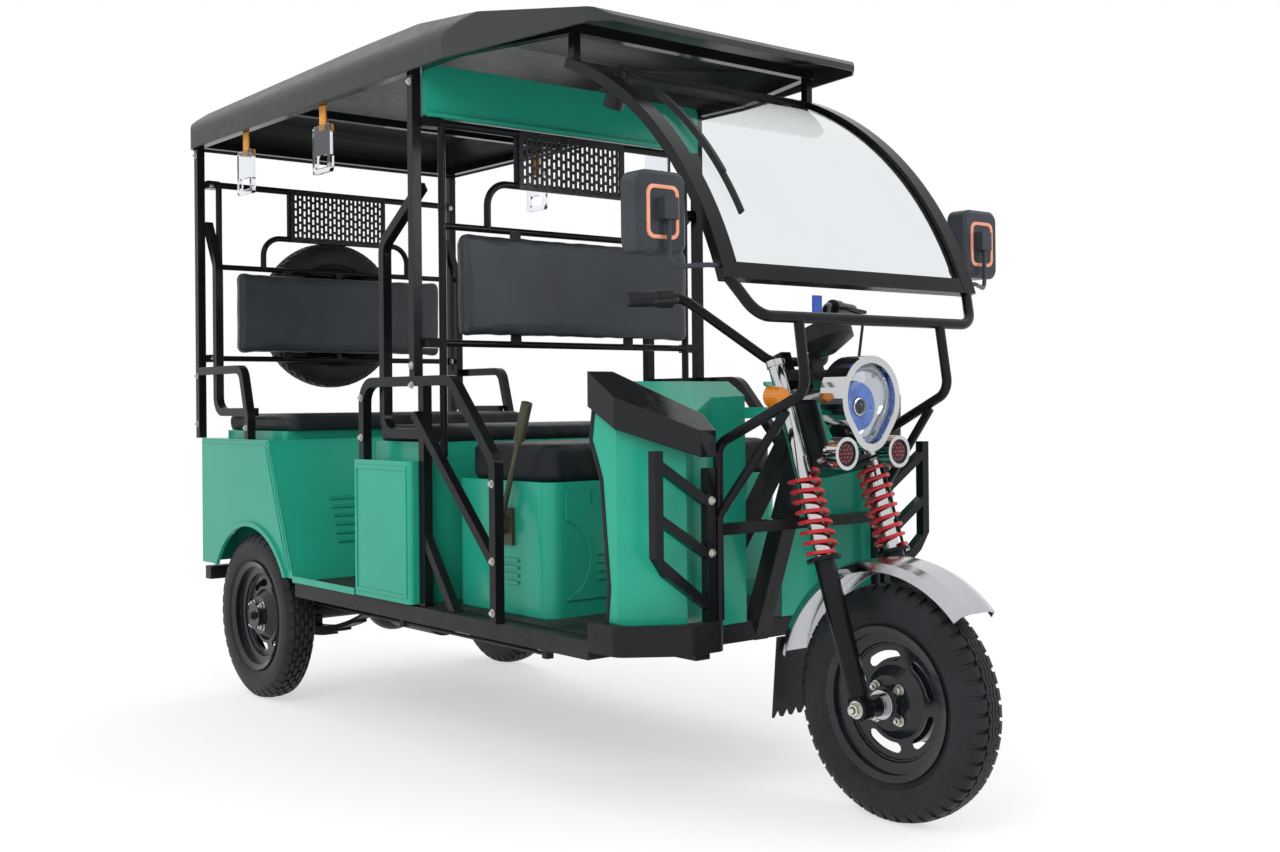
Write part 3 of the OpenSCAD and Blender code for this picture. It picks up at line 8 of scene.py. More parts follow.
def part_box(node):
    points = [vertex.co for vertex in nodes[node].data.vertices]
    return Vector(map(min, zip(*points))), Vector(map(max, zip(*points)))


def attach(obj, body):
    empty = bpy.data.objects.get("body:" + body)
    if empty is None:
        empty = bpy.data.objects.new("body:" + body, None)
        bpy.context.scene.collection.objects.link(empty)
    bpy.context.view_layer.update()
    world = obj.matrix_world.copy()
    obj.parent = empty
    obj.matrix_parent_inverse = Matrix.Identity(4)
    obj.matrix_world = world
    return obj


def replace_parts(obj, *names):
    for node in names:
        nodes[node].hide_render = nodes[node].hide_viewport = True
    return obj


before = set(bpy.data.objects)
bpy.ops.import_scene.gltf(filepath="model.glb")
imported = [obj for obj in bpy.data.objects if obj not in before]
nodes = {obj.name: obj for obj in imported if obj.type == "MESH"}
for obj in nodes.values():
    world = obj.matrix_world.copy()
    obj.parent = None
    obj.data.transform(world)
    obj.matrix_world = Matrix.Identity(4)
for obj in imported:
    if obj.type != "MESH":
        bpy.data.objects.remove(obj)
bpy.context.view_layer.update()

# Vehicle measures in millimetres from the rear axle, as in the part's source
MID_X = 947.5
WHEELBASE = 2112
TYRE_R = 250
RAKE = math.radians(18.5)
REAR_WHEEL_Y = 436.5
SPARE_AT = (-419.5, 0, 1198)
BODY_SIDE_Y = 490

X, Y, Z = Vector((1, 0, 0)), Vector((0, 1, 0)), Vector((0, 0, 1))
TURN = 2 * math.pi


def V(x, y, z):
    """A point of the vehicle in the row frame, in metres."""
    return Vector(((x - MID_X) / 1000, y / 1000, z / 1000))


def F(x, y, z):
    """A point of the fork's own frame, whose z runs up along its legs."""
    return V(WHEELBASE + x * math.cos(RAKE) - z * math.sin(RAKE), y,
             TYRE_R + x * math.sin(RAKE) + z * math.cos(RAKE))


# Materials

# Width of a worn edge in metres, colour of dust, and roughness of a clear coat
WORN_EDGE = 0.003
DUST = (0.42, 0.40, 0.36, 1)
COAT_ROUGHNESS = 0.06


def tree_of(name):
    m = bpy.data.materials.new(name)
    m.use_nodes = True
    t = m.node_tree
    t.nodes.clear()
    out = t.nodes.new("ShaderNodeOutputMaterial")
    shader = t.nodes.new("ShaderNodeBsdfPrincipled")
    t.links.new(shader.outputs[0], out.inputs[0])
    return m, t, shader


def add(t, kind, inputs=None, **props):
    n = t.nodes.new("ShaderNode" + kind)
    for k, v in props.items():
        setattr(n, k, v)
    for k, v in (inputs or {}).items():
        if isinstance(v, bpy.types.NodeSocket):
            t.links.new(v, n.inputs[k])
        else:
            n.inputs[k].default_value = v
    return n


def shade(c, k):
    return (min(1, c[0] * k), min(1, c[1] * k), min(1, c[2] * k), 1)


def mix(t, factor, a, b):
    n = add(t, "Mix", data_type="RGBA")
    for i, v in ((0, factor), (6, a), (7, b)):
        if isinstance(v, bpy.types.NodeSocket):
            t.links.new(v, n.inputs[i])
        else:
            n.inputs[i].default_value = v
    return n.outputs[2]


def remap(t, value, low, high, to_low=0.0, to_high=1.0):
    return add(t, "MapRange", {0: value, 1: low, 2: high, 3: to_low, 4: to_high}).outputs[0]


def times(t, a, b):
    return add(t, "Math", {0: a, 1: b}, operation="MULTIPLY").outputs[0]


def edge_mask(t, radius):
    """1 near convex and concave edges, 0 on flat faces."""
    soft = add(t, "Bevel", {"Radius": radius}, samples=4)
    true = add(t, "NewGeometry")
    dot = add(t, "VectorMath", {0: soft.outputs[0], 1: true.outputs["Normal"]}, operation="DOT_PRODUCT")
    return remap(t, dot.outputs["Value"], 1.0, 0.93)


def surface(name, color, rough, metallic=0.0, vary=0.08, vary_scale=5.0, rough_vary=0.08, grain=None, coat=0.0,
            bevel=0.0012, wear=None, dust=0.0, specular=0.22, sheen=0.0, streak=None):
    """A finish with drift in its colour and gloss, a grain, worn edges and dust on what faces up.
    grain is (kind, scale, strength, depth in metres); wear is (colour, share); streak is the scale of a
    brushed grain along X, Y and Z."""
    m, t, b = tree_of(name)
    where = add(t, "TexCoord").outputs["Object"]
    drift = add(t, "TexNoise", {"Vector": where, "Scale": vary_scale, "Detail": 5.0}).outputs[0]
    fine = add(t, "TexNoise", {"Vector": where, "Scale": vary_scale * 14, "Detail": 4.0}).outputs[0]
    base = mix(t, remap(t, drift, 0.3, 0.7), shade(color, 1 - vary), shade(color, 1 + vary))
    gloss = remap(t, fine, 0.25, 0.75, max(0.02, rough - rough_vary), min(1, rough + rough_vary))
    if wear:
        spots = times(t, edge_mask(t, WORN_EDGE), remap(t, fine, 0.5, 0.62))
        base = mix(t, times(t, spots, wear[1]), base, (*wear[0], 1))
    if dust:
        up = add(t, "SeparateXYZ", {0: add(t, "NewGeometry").outputs["Normal"]}).outputs[2]
        base = mix(t, times(t, times(t, remap(t, up, 0.3, 1.0), remap(t, drift, 0.3, 0.75)), dust), base,
                   DUST)
    t.links.new(base, b.inputs["Base Color"])
    t.links.new(gloss, b.inputs["Roughness"])
    b.inputs["Metallic"].default_value = metallic
    b.inputs["Specular IOR Level"].default_value = specular
    if coat:
        b.inputs["Coat Weight"].default_value = coat
        b.inputs["Coat Roughness"].default_value = COAT_ROUGHNESS
    if sheen:
        b.inputs["Sheen Weight"].default_value = sheen
    normal = add(t, "Bevel", {"Radius": bevel}, samples=4).outputs[0] if bevel else None
    kind, scale, strength, depth = grain or ("noise", 900.0, 0.05, 0.0004)
    if kind == "leather":
        cells = add(t, "TexVoronoi", {"Vector": where, "Scale": scale}, feature="DISTANCE_TO_EDGE").outputs[0]
        height = remap(t, cells, 0.0, 0.25)
    elif kind == "brushed":
        turned = add(t, "Mapping", {"Vector": where, "Scale": streak or (1, 40, 40)}).outputs[0]
        height = add(t, "TexNoise", {"Vector": turned, "Scale": scale, "Detail": 3.0}).outputs[0]
    else:
        height = add(t, "TexNoise", {"Vector": where, "Scale": scale, "Detail": 3.0}).outputs[0]
    bump = add(t, "Bump", {"Height": height, "Strength": strength, "Distance": depth})
    if normal:
        t.links.new(normal, bump.inputs["Normal"])
    t.links.new(bump.outputs[0], b.inputs["Normal"])
    return m


def clear(name, color, rough, ior=1.45, tint=0.06, ripple=0.02):
    """A see-through finish with a faint drift in tint and smear."""
    m, t, b = tree_of(name)
    where = add(t, "TexCoord").outputs["Object"]
    drift = add(t, "TexNoise", {"Vector": where, "Scale": 3.0, "Detail": 4.0}).outputs[0]
    t.links.new(mix(t, remap(t, drift, 0.3, 0.7), shade(color, 1 - tint), shade(color, 1)), b.inputs["Base Color"])
    t.links.new(remap(t, drift, 0.35, 0.75, rough, rough + 0.04), b.inputs["Roughness"])
    b.inputs["Transmission Weight"].default_value = 1.0
    b.inputs["IOR"].default_value = ior
    wave = add(t, "TexNoise", {"Vector": where, "Scale": 18.0, "Detail": 2.0}).outputs[0]
    bump = add(t, "Bump", {"Height": wave, "Strength": ripple, "Distance": 0.0005})
    t.links.new(bump.outputs[0], b.inputs["Normal"])
    return m


def lens(name, color, ribs, strength=0.6):
    """A coloured moulded lens with upright ribs."""
    m, t, b = tree_of(name)
    where = add(t, "TexCoord").outputs["Object"]
    drift = add(t, "TexNoise", {"Vector": where, "Scale": 30.0, "Detail": 3.0}).outputs[0]
    t.links.new(mix(t, drift, shade(color, 0.75), shade(color, 1.15)), b.inputs["Base Color"])
    t.links.new(remap(t, drift, 0.3, 0.7, 0.08, 0.2), b.inputs["Roughness"])
    b.inputs["Transmission Weight"].default_value = 0.35
    b.inputs["Coat Weight"].default_value = 0.6
    wave = add(t, "TexWave", {"Vector": where, "Scale": ribs}, bands_direction="Z")
    bump = add(t, "Bump", {"Height": wave.outputs[1], "Strength": strength, "Distance": 0.001})
    t.links.new(bump.outputs[0], b.inputs["Normal"])
    return m


GREEN = surface("paint_green", (0.018, 0.300, 0.205), 0.20, vary=0.06, vary_scale=2.5, rough_vary=0.05, coat=0.06,
                grain=("noise", 260.0, 0.03, 0.0006), wear=((0.02, 0.16, 0.12), 0.4), dust=0.03)
BLACK = surface("paint_black", (0.006, 0.0065, 0.008), 0.17, vary=0.25, vary_scale=6.0, rough_vary=0.06, specular=0.16,
                grain=("noise", 500.0, 0.05, 0.0004), wear=((0.05, 0.05, 0.055), 0.4), dust=0.02)
MESH = surface("mesh_black", (0.016, 0.017, 0.019), 0.30, metallic=0.1, vary=0.25, vary_scale=9.0, rough_vary=0.1,
               grain=("noise", 800.0, 0.1, 0.0003), wear=((0.12, 0.12, 0.125), 0.5), dust=0.03)
RIM = surface("rim_black", (0.009, 0.011, 0.014), 0.18, vary=0.25, vary_scale=9.0, specular=0.4,
              grain=("noise", 500.0, 0.05, 0.0004), wear=((0.08, 0.08, 0.08), 0.5), dust=0.03)
VINYL = surface("vinyl", (0.024, 0.028, 0.034), 0.36, vary=0.22, vary_scale=7.0, rough_vary=0.10, specular=0.35,
                grain=("leather", 420.0, 0.22, 0.0006), bevel=0.0, dust=0.03)
# Cushion cover: the pads' vinyl made darker, a painted shade for the shade that falls on the seats under the canopy
SHADED_VINYL = surface("seat_vinyl", (0.010, 0.012, 0.015), 0.44, vary=0.25, vary_scale=7.0, rough_vary=0.10, specular=0.22,
               grain=("leather", 420.0, 0.25, 0.0006), bevel=0.0, dust=0.02)
ROOF = surface("roof_grey", (0.030, 0.034, 0.032), 0.36, vary=0.08, vary_scale=2.0, rough_vary=0.05, specular=0.2,
               grain=("noise", 300.0, 0.04, 0.0004), bevel=0.004, dust=0.05)
PLASTIC = surface("plastic_black", (0.013, 0.014, 0.016), 0.36, vary=0.18, vary_scale=12.0, rough_vary=0.1,
                  grain=("noise", 1500.0, 0.12, 0.0003), bevel=0.0015)
HOUSING = surface("housing_grey", (0.030, 0.035, 0.042), 0.34, vary=0.15, vary_scale=12.0, rough_vary=0.1,
                  grain=("noise", 1500.0, 0.12, 0.0003), bevel=0.003)
CAP = surface("cap_gloss", (0.007, 0.008, 0.009), 0.12, vary=0.2, vary_scale=4.0, coat=0.1,
              grain=("noise", 200.0, 0.03, 0.0005), bevel=0.004, dust=0.02)
BUMPER = surface("bumper_black", (0.008, 0.008, 0.009), 0.40, vary=0.2, vary_scale=5.0, rough_vary=0.12,
                 grain=("noise", 1100.0, 0.18, 0.0005), bevel=0.003, dust=0.05)
CHROME = surface("chrome", (0.56, 0.565, 0.575), 0.07, metallic=1.0, vary=0.05, vary_scale=14.0, rough_vary=0.04,
                 grain=("noise", 90.0, 0.02, 0.0003))
POLISHED = surface("polished_steel", (0.50, 0.51, 0.53), 0.17, metallic=1.0, vary=0.06, vary_scale=9.0, rough_vary=0.07,
                   grain=("brushed", 30.0, 0.06, 0.0003), streak=(4, 60, 4))
ZINC = surface("zinc", (0.62, 0.61, 0.56), 0.28, metallic=1.0, vary=0.14, vary_scale=60.0, rough_vary=0.12,
               grain=("noise", 900.0, 0.1, 0.0002))
RUBBER = surface("rubber", (0.012, 0.0135, 0.016), 0.52, vary=0.25, vary_scale=14.0, rough_vary=0.12, specular=0.24,
                 grain=("noise", 900.0, 0.25, 0.0005), bevel=0.0008, dust=0.04)
MAT = surface("floor_mat", (0.014, 0.015, 0.015), 0.55, vary=0.25, vary_scale=8.0, rough_vary=0.12,
              grain=("noise", 1300.0, 0.3, 0.0005), dust=0.06)
RED = surface("spring_red", (0.40, 0.016, 0.024), 0.22, vary=0.14, vary_scale=25.0, coat=0.2,
              grain=("noise", 400.0, 0.06, 0.0003), wear=((0.25, 0.03, 0.03), 0.4), bevel=0.0)
AXLE = surface("axle_black", (0.012, 0.012, 0.014), 0.44, vary=0.3, vary_scale=11.0, rough_vary=0.14,
               grain=("noise", 260.0, 0.35, 0.0010), wear=((0.08, 0.07, 0.06), 0.5), dust=0.06)
LEVER = surface("lever_steel", (0.07, 0.068, 0.045), 0.42, metallic=0.3, vary=0.25, vary_scale=18.0, rough_vary=0.14,
                grain=("noise", 700.0, 0.2, 0.0004), wear=((0.3, 0.29, 0.24), 0.6))
BATTERY = surface("battery_case", (0.03, 0.03, 0.034), 0.5, vary=0.15, grain=("noise", 1200.0, 0.15, 0.0003))
WEBBING = surface("webbing", (0.62, 0.25, 0.02), 0.72, vary=0.16, vary_scale=40.0, rough_vary=0.1, sheen=0.3,
                  grain=("brushed", 220.0, 0.7, 0.0006), streak=(1, 1, 6), bevel=0.0)
COPPER = surface("ring_copper", (0.72, 0.30, 0.20), 0.26, metallic=0.3, vary=0.12, vary_scale=30.0, coat=0.2,
                 grain=("noise", 500.0, 0.08, 0.0003))
GLASS = clear("screen_glass", (0.82, 0.845, 0.86), 0.0, ior=1.14, tint=0.03)
LAMP_GLASS = clear("lamp_glass", (0.93, 0.96, 1.0), 0.0, ior=1.25)
CLEAR = clear("clear_plastic", (0.86, 0.89, 0.93), 0.05, ior=1.3, tint=0.1, ripple=0.1)
MIRROR = surface("mirror_glass", (0.86, 0.88, 0.90), 0.03, metallic=1.0, vary=0.02, rough_vary=0.01,
                 grain=("noise", 40.0, 0.01, 0.0002))
AMBER = lens("amber_lens", (0.92, 0.30, 0.012), 55.0)
RED_LENS = lens("red_lens", (0.55, 0.010, 0.010), 45.0)
LAMP_BLUE = surface("lamp_blue", (0.10, 0.22, 0.62), 0.16, vary=0.18, vary_scale=40.0, coat=0.8,
                    grain=("noise", 300.0, 0.06, 0.0003), bevel=0.0)
BLUE = surface("blue_plastic", (0.03, 0.10, 0.52), 0.28, vary=0.12, vary_scale=30.0, coat=0.4,
               grain=("noise", 600.0, 0.08, 0.0003))

# A CAD node to its finish
FINISH = {
    "chassis_frame": AXLE, "floor_deck": MAT, "nose_bumper": BUMPER, "leg_guards": BLACK, "leg_shield": GREEN,
    "leg_shield_caps": CAP, "driver_seat_box": GREEN, "mid_seat_box": GREEN, "rear_seat_box": GREEN,
    "seat_back_frames": BLACK, "side_panels": GREEN, "tail_panel": GREEN, "tail_lamps": RED_LENS, "armrests": BLACK,
    "canopy_posts": BLACK, "roof_frame": BLACK, "roof_shell": ROOF, "header_panel": GREEN, "windscreen_frame": BLACK,
    "windscreen_glass": GLASS, "wiper": PLASTIC, "mirrors": HOUSING, "handbrake": LEVER, "grab_handles": CLEAR,
    "battery_pack": BATTERY, "rear_axle": AXLE, "leaf_springs": AXLE, "spare_rim": RIM, "spare_tyre": RUBBER,
    "fork_yokes": BLACK, "fork_tubes": CHROME, "fork_sliders": BLACK, "fork_springs": RED, "handlebar": BLACK,
    "controls": PLASTIC, "headlamp": CHROME, "headlamp_lens": LAMP_GLASS, "horns": CHROME, "front_indicators": AMBER,
    "front_mudguard": POLISHED, "mudflap": RUBBER, "front_rim": RIM, "front_tyre": RUBBER, "rear_rim_right": RIM,
    "rear_tyre_right": RUBBER, "rear_rim_left": RIM, "rear_tyre_left": RUBBER, "driver_cushion": SHADED_VINYL,
    "mid_cushion": SHADED_VINYL, "rear_cushion": SHADED_VINYL, "seat_back_pads": VINYL, "seat_back_meshes": MESH,
}
for name, obj in nodes.items():
    obj.data.materials.clear()
    obj.data.materials.append(FINISH[name])


# Meshes

class Shape:
    """Vertices and faces of one piece, gathered from simple forms."""

    def __init__(self):
        self.verts = []
        self.faces = []

    def put(self, verts, faces):
        n = len(self.verts)
        self.verts += [Vector(v) for v in verts]
        self.faces += [[n + i for i in f] for f in faces]

    def grid(self, rows, wrap_u=False, wrap_v=False):
        """Skin over rows of points; wrap_u closes each row, wrap_v joins the last row to the first."""
        nv, nu = len(rows), len(rows[0])
        faces = []
        for j in range(nv if wrap_v else nv - 1):
            for i in range(nu if wrap_u else nu - 1):
                a, b = j * nu + i, j * nu + (i + 1) % nu
                c, d = ((j + 1) % nv) * nu + (i + 1) % nu, ((j + 1) % nv) * nu + i
                faces.append([a, b, c, d])
        self.put([p for r in rows for p in r], faces)

    def turned(self, origin, axis, profile, n=32, caps=True):
        """A lathe form: profile is (radius, distance along the axis)."""
        axis = Vector(axis).normalized()
        s = axis.orthogonal().normalized()
        u = axis.cross(s)
        rows = []
        for r, z in profile:
            mid = Vector(origin) + axis * z
            rows.append([mid + (s * math.cos(TURN * i / n) + u * math.sin(TURN * i / n)) * r for i in range(n)])
        self.grid(rows, wrap_u=True)
        if caps:
            start = len(self.verts) - n * len(profile)
            self.faces.append([start + i for i in reversed(range(n))])
            self.faces.append([start + n * (len(profile) - 1) + i for i in range(n)])

    def bolt(self, at, axis, d=0.013, h=0.006):
        """Hexagon head on a washer, with a short plain end."""
        self.turned(at, axis, [(d * 0.72, 0), (d * 0.72, h * 0.2), (d * 0.5, h * 0.2)], 20)
        axis = Vector(axis).normalized()
        self.turned(Vector(at) + axis * h * 0.2, axis, [(d * 0.56, 0), (d * 0.56, h * 0.75), (d * 0.5, h * 0.85)], 6)
        self.turned(Vector(at) + axis * h * 1.0, axis, [(d * 0.27, 0), (d * 0.27, h * 0.45), (d * 0.22, h * 0.6)], 12)

    def tube(self, path, r, n=12, caps=True):
        """A round bar along a path of points."""
        rows = []
        side = None
        for i, p in enumerate(path):
            a, b = path[max(0, i - 1)], path[min(len(path) - 1, i + 1)]
            d = (Vector(b) - Vector(a)).normalized()
            side = d.orthogonal().normalized() if side is None else (side - d * side.dot(d)).normalized()
            up = d.cross(side)
            rows.append([Vector(p) + (side * math.cos(TURN * k / n) + up * math.sin(TURN * k / n)) * r
                         for k in range(n)])
        start = len(self.verts)
        self.grid(rows, wrap_u=True)
        if caps:
            self.faces.append([start + k for k in reversed(range(n))])
            self.faces.append([start + n * (len(path) - 1) + k for k in range(n)])

    def made(self, name, material, body, angle=35.0, smooth=True):
        """The finished piece, riding on a body; edges sharper than angle in degrees stay sharp."""
        mesh = bpy.data.meshes.new(name)
        mesh.from_pydata([tuple(v) for v in self.verts], [], self.faces)
        mesh.validate()
        bm = bmesh.new()
        bm.from_mesh(mesh)
        bmesh.ops.recalc_face_normals(bm, faces=bm.faces)
        bm.to_mesh(mesh)
        bm.free()
        if smooth:
            mesh.shade_smooth()
            mesh.set_sharp_from_angle(angle=math.radians(angle))
        mesh.materials.append(material)
        obj = bpy.data.objects.new(name, mesh)
        bpy.context.scene.collection.objects.link(obj)
        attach(obj, body)
        return obj


# Tyres with their tread, in millimetres

# Distance from the middle and radius of the tread's outer surface
CROWN = [(0, 250), (12.5, 250), (32.5, 246), (40, 235), (46, 225)]
# Radius and distance from the middle of the carcass, from the bead out to the crown
CARCASS = [(152, 32.8), (157, 34.5), (163, 35.6), (167, 37.6), (176, 43.2), (178, 45.2), (181, 45.0), (188, 46.8),
           (199, 47.2), (201, 47.4), (204, 47.0), (214, 46.4), (222, 45.3), (229, 41.5), (235, 37), (238.6, 31),
           (241.5, 22), (242.4, 10), (242.6, 0)]
CARCASS_STEPS = 120
# Tread: gap under the CAD's crown, depth, how far a block's foot is sunk, and how much its foot grows each way
CROWN_GAP = 0.3
TREAD_DEPTH = 7.0
FOOT_SUNK = 1.5
FOOT_GROWTH = (1.10, 1.03)
# Road pattern: lugs at the shoulders and three zigzag ribs; places across and lean in shares of the pitch
LUG_COUNT = 46
LUG_Y = [17.5, 24, 30, 34, 38, 42, 45]
LUG_LEAN = [0.10, 0.02, 0.0, 0.0, 0.02, 0.04, 0.06]
RIBS = ((-14.5, -6.0), (-3.8, 3.8), (6.0, 14.5))
RIB_BEND = 2.2
# Six-sided pattern: rows of blocks, and bars at the shoulders
HEX_COUNT = 40
HEX_ROWS = (-20.5, -7, 7, 20.5)
HEX_HALF = 5.6
SHOULDER_Y = [28.2, 31.5, 35, 39, 43, 45.4]


def between(table, y):
    y = abs(y)
    for (y0, r0), (y1, r1) in zip(table, table[1:]):
        if y <= y1:
            return r0 + (r1 - r0) * (y - y0) / (y1 - y0)
    return table[-1][1]


def tread_top(y):
    return between(CROWN, y) - CROWN_GAP


def tyre_piece(name, centre, right, forward, up, body, pattern):
    """Carcass with ribs on its walls, and raised blocks; right is along the axle."""
    def at(angle, r, y):
        return centre + (right * y + (forward * math.cos(angle) + up * math.sin(angle)) * r) / 1000

    profile = CARCASS + [(r, -y) for r, y in reversed(CARCASS[:-1])]
    n = CARCASS_STEPS
    s = Shape()
    s.grid([[at(TURN * i / n, r, y) for r, y in profile] for i in range(n)], wrap_u=True, wrap_v=True)

    def block(outline):
        """Outline of (angle, y) pairs: first side from inner to outer, second side back."""
        k = len(outline) // 2
        a, b = outline[:k], outline[k:][::-1]
        top = [at(t, tread_top(y), y) for t, y in a] + [at(t, tread_top(y), y) for t, y in b]
        mid_t = sum(t for t, y in outline) / len(outline)
        mid_y = sum(y for t, y in outline) / len(outline)
        grow_t, grow_y = FOOT_GROWTH
        low = [at(mid_t + (t - mid_t) * grow_t, tread_top(y) - TREAD_DEPTH - FOOT_SUNK, mid_y + (y - mid_y) * grow_y)
               for t, y in a + b]
        m = 2 * k
        faces = [[i, i + 1, k + i + 1, k + i] for i in range(k - 1)]
        ring = list(range(k)) + list(range(2 * k - 1, k - 1, -1))
        for i in range(m):
            p, q = ring[i], ring[(i + 1) % m]
            faces.append([p, m + p, m + q, q])
        s.put(top + low, faces)

    if pattern == "lug":
        p = TURN / LUG_COUNT
        for i in range(LUG_COUNT):
            t0 = TURN * i / LUG_COUNT
            for sign in (-1, 1):
                u = 0 if sign > 0 else 0.5
                a = [(t0 + p * (u + 0.06 + LUG_LEAN[j]), sign * y) for j, y in enumerate(LUG_Y)]
                b = [(t0 + p * (u + 0.78 - LUG_LEAN[j] + (0.16 if j == 0 else 0)), sign * y)
                     for j, y in enumerate(LUG_Y)]
                block(a + b[::-1])
            for k, (low, high) in enumerate(RIBS):
                for part in (0, 1):
                    u0, u1 = part * 0.5, part * 0.5 + 0.5
                    d0, d1 = (RIB_BEND, -RIB_BEND) if part == 0 else (-RIB_BEND, RIB_BEND)
                    gap = 0.03 if k != 1 else 0.012
                    block([(t0 + p * (u0 + gap), low + d0), (t0 + p * (u0 + gap), high + d0),
                           (t0 + p * u1, high + d1), (t0 + p * u1, low + d1)])
    else:
        p = TURN / HEX_COUNT
        for i in range(HEX_COUNT):
            t0 = p * i
            for row, y0 in enumerate(HEX_ROWS):
                u = 0.5 * (row % 2)
                low, high = y0 - HEX_HALF, y0 + HEX_HALF
                block([(t0 + p * (u + 0.22), low), (t0 + p * (u + 0.05), y0), (t0 + p * (u + 0.22), high),
                       (t0 + p * (u + 0.74), high), (t0 + p * (u + 0.91), y0), (t0 + p * (u + 0.74), low)])
            for sign in (-1, 1):
                u = 0.25 if sign > 0 else 0.75
                a = [(t0 + p * (u + 0.05 + 0.015 * j), sign * y) for j, y in enumerate(SHOULDER_Y)]
                b = [(t0 + p * (u + 0.80 - 0.02 * j), sign * y) for j, y in enumerate(SHOULDER_Y)]
                block(a + b[::-1])
    obj = s.made(name, RUBBER, body, angle=32)
    return obj


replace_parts(tyre_piece("front_tread", V(WHEELBASE, 0, TYRE_R), Y, X, Z, "front_wheel", "lug"), "front_tyre")
for hand, y in (("right", -REAR_WHEEL_Y), ("left", REAR_WHEEL_Y)):
    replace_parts(tyre_piece("rear_tread_" + hand, V(0, y, TYRE_R), Y, X, Z, "rear_wheel_" + hand, "hex"),
                "rear_tyre_" + hand)
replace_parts(tyre_piece("spare_tread", V(*SPARE_AT), X, Y, Z, "body", "hex"), "spare_tyre")


# Cushions and pads

# Cloth that swells them, the voxel of their meshes in metres, and the height over which a pad rests on its bed
CLOTH_PRESSURE = 4.0
CLOTH_STIFFNESS = 12.0
CLOTH_BENDING = 0.8
CLOTH_FRAMES = 20
VOXEL = 0.008
REST_BAND = 0.004


def padded(name, node, low, high, corner, swell, thin, crease=0.0, cover=VINYL):
    """A stuffed pad grown from a slightly smaller box: pressed outward as cloth, then held to its bed.
    thin is the axis through the pad, corner the round of its outline, swell the most that it moves."""
    low, high = Vector(low), Vector(high)
    mesh = bpy.data.meshes.new(name)
    bm = bmesh.new()
    bmesh.ops.create_cube(bm, size=1.0)
    inset = swell * 0.6
    size = high - low
    centre = (low + high) / 2
    dims = [size[i] - 2 * inset for i in range(3)]
    bmesh.ops.scale(bm, vec=Vector(dims), verts=bm.verts)

    def run(e):
        return e.verts[0].co - e.verts[1].co

    def broad(face):
        return abs(face.normal[thin]) > 0.9

    upright = [e for e in bm.edges if abs(run(e).normalized()[thin]) > 0.9]
    bmesh.ops.bevel(bm, geom=upright, offset=corner, segments=6, affect="EDGES", profile=0.5)
    brim = [e for e in bm.edges if abs(run(e)[thin]) < 1e-5 and len(e.link_faces) == 2
            and any(broad(f) for f in e.link_faces) and not all(broad(f) for f in e.link_faces)]
    bmesh.ops.bevel(bm, geom=brim, offset=min(dims[thin] * 0.28, 0.012), segments=3, affect="EDGES", profile=0.5)
    bmesh.ops.translate(bm, vec=centre, verts=bm.verts)
    bm.to_mesh(mesh)
    bm.free()
    obj = bpy.data.objects.new(name, mesh)
    scene = bpy.context.scene
    scene.collection.objects.link(obj)
    bpy.context.view_layer.objects.active = obj
    for o in bpy.context.selected_objects:
        o.select_set(False)
    obj.select_set(True)
    mesh.remesh_voxel_size = VOXEL
    bpy.ops.object.voxel_remesh()
    start = [v.co.copy() for v in obj.data.vertices]
    cloth = obj.modifiers.new("cloth", "CLOTH")
    cloth.settings.quality = 4
    cloth.settings.use_pressure = True
    cloth.settings.uniform_pressure_force = CLOTH_PRESSURE
    cloth.settings.effector_weights.gravity = 0.0
    cloth.settings.tension_stiffness = CLOTH_STIFFNESS
    cloth.settings.compression_stiffness = CLOTH_STIFFNESS
    cloth.settings.bending_stiffness = CLOTH_BENDING
    cloth.point_cache.frame_start = 1
    cloth.point_cache.frame_end = CLOTH_FRAMES
    for f in range(1, CLOTH_FRAMES + 1):
        scene.frame_set(f)
    shaped = obj.evaluated_get(bpy.context.evaluated_depsgraph_get())
    moved = [v.co.copy() for v in shaped.data.vertices]
    obj.modifiers.remove(cloth)
    scene.frame_set(1)
    for v, a, b in zip(obj.data.vertices, start, moved):
        d = b - a
        if d.length > swell:
            d = d.normalized() * swell
        c = a + d
        if crease:
            wave = (math.sin(c.x * 61 + c.y * 17) * math.sin(c.y * 43 + c.z * 29)
                    + 0.6 * math.sin(c.y * 97 - c.x * 31 + c.z * 53))
            c = c + d.normalized() * crease * wave * 0.5 if d.length > 1e-6 else c
        for i in range(3):
            c[i] = min(max(c[i], low[i]), high[i])
        if a[thin] < low[thin] + inset + REST_BAND:
            c[thin] = low[thin] + 0.0005
        v.co = c
    sub = obj.modifiers.new("smooth", "SUBSURF")
    sub.levels = sub.render_levels = 1
    obj.data.shade_smooth()
    obj.data.materials.append(cover)
    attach(obj, "body")
    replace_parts(obj, node)


# Seat cushions, covered in the darkened vinyl with painted shade
for name, corner in (("driver_cushion", 0.045), ("mid_cushion", 0.032), ("rear_cushion", 0.032)):
    low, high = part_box(name)
    padded(name.replace("cushion", "seat"), name, low, high, corner, swell=0.010, thin=2, crease=0.0025,
           cover=SHADED_VINYL)
low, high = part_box("seat_back_pads")
PAD_THICK = 0.045
for name, x0, x1 in (("rear_back", low.x, low.x + PAD_THICK), ("mid_back", high.x - PAD_THICK, high.x)):
    padded(name, "seat_back_pads", (x0, low.y, low.z), (x1, high.y, high.z), 0.022, swell=0.008, thin=0,
           crease=0.0020)


# Bolts and nuts of the frame and the wheels

# X and Z of the bolts in the posts' and hoops' outer faces
SIDE_BOLTS = ((961.5, 935), (961.5, 985), (1318, 520), (1318, 700), (697, 800), (697, 905), (-390, 830), (-390, 985),
              (-22, 820), (1318, 400), (961.5, 1700), (-390, 1700))
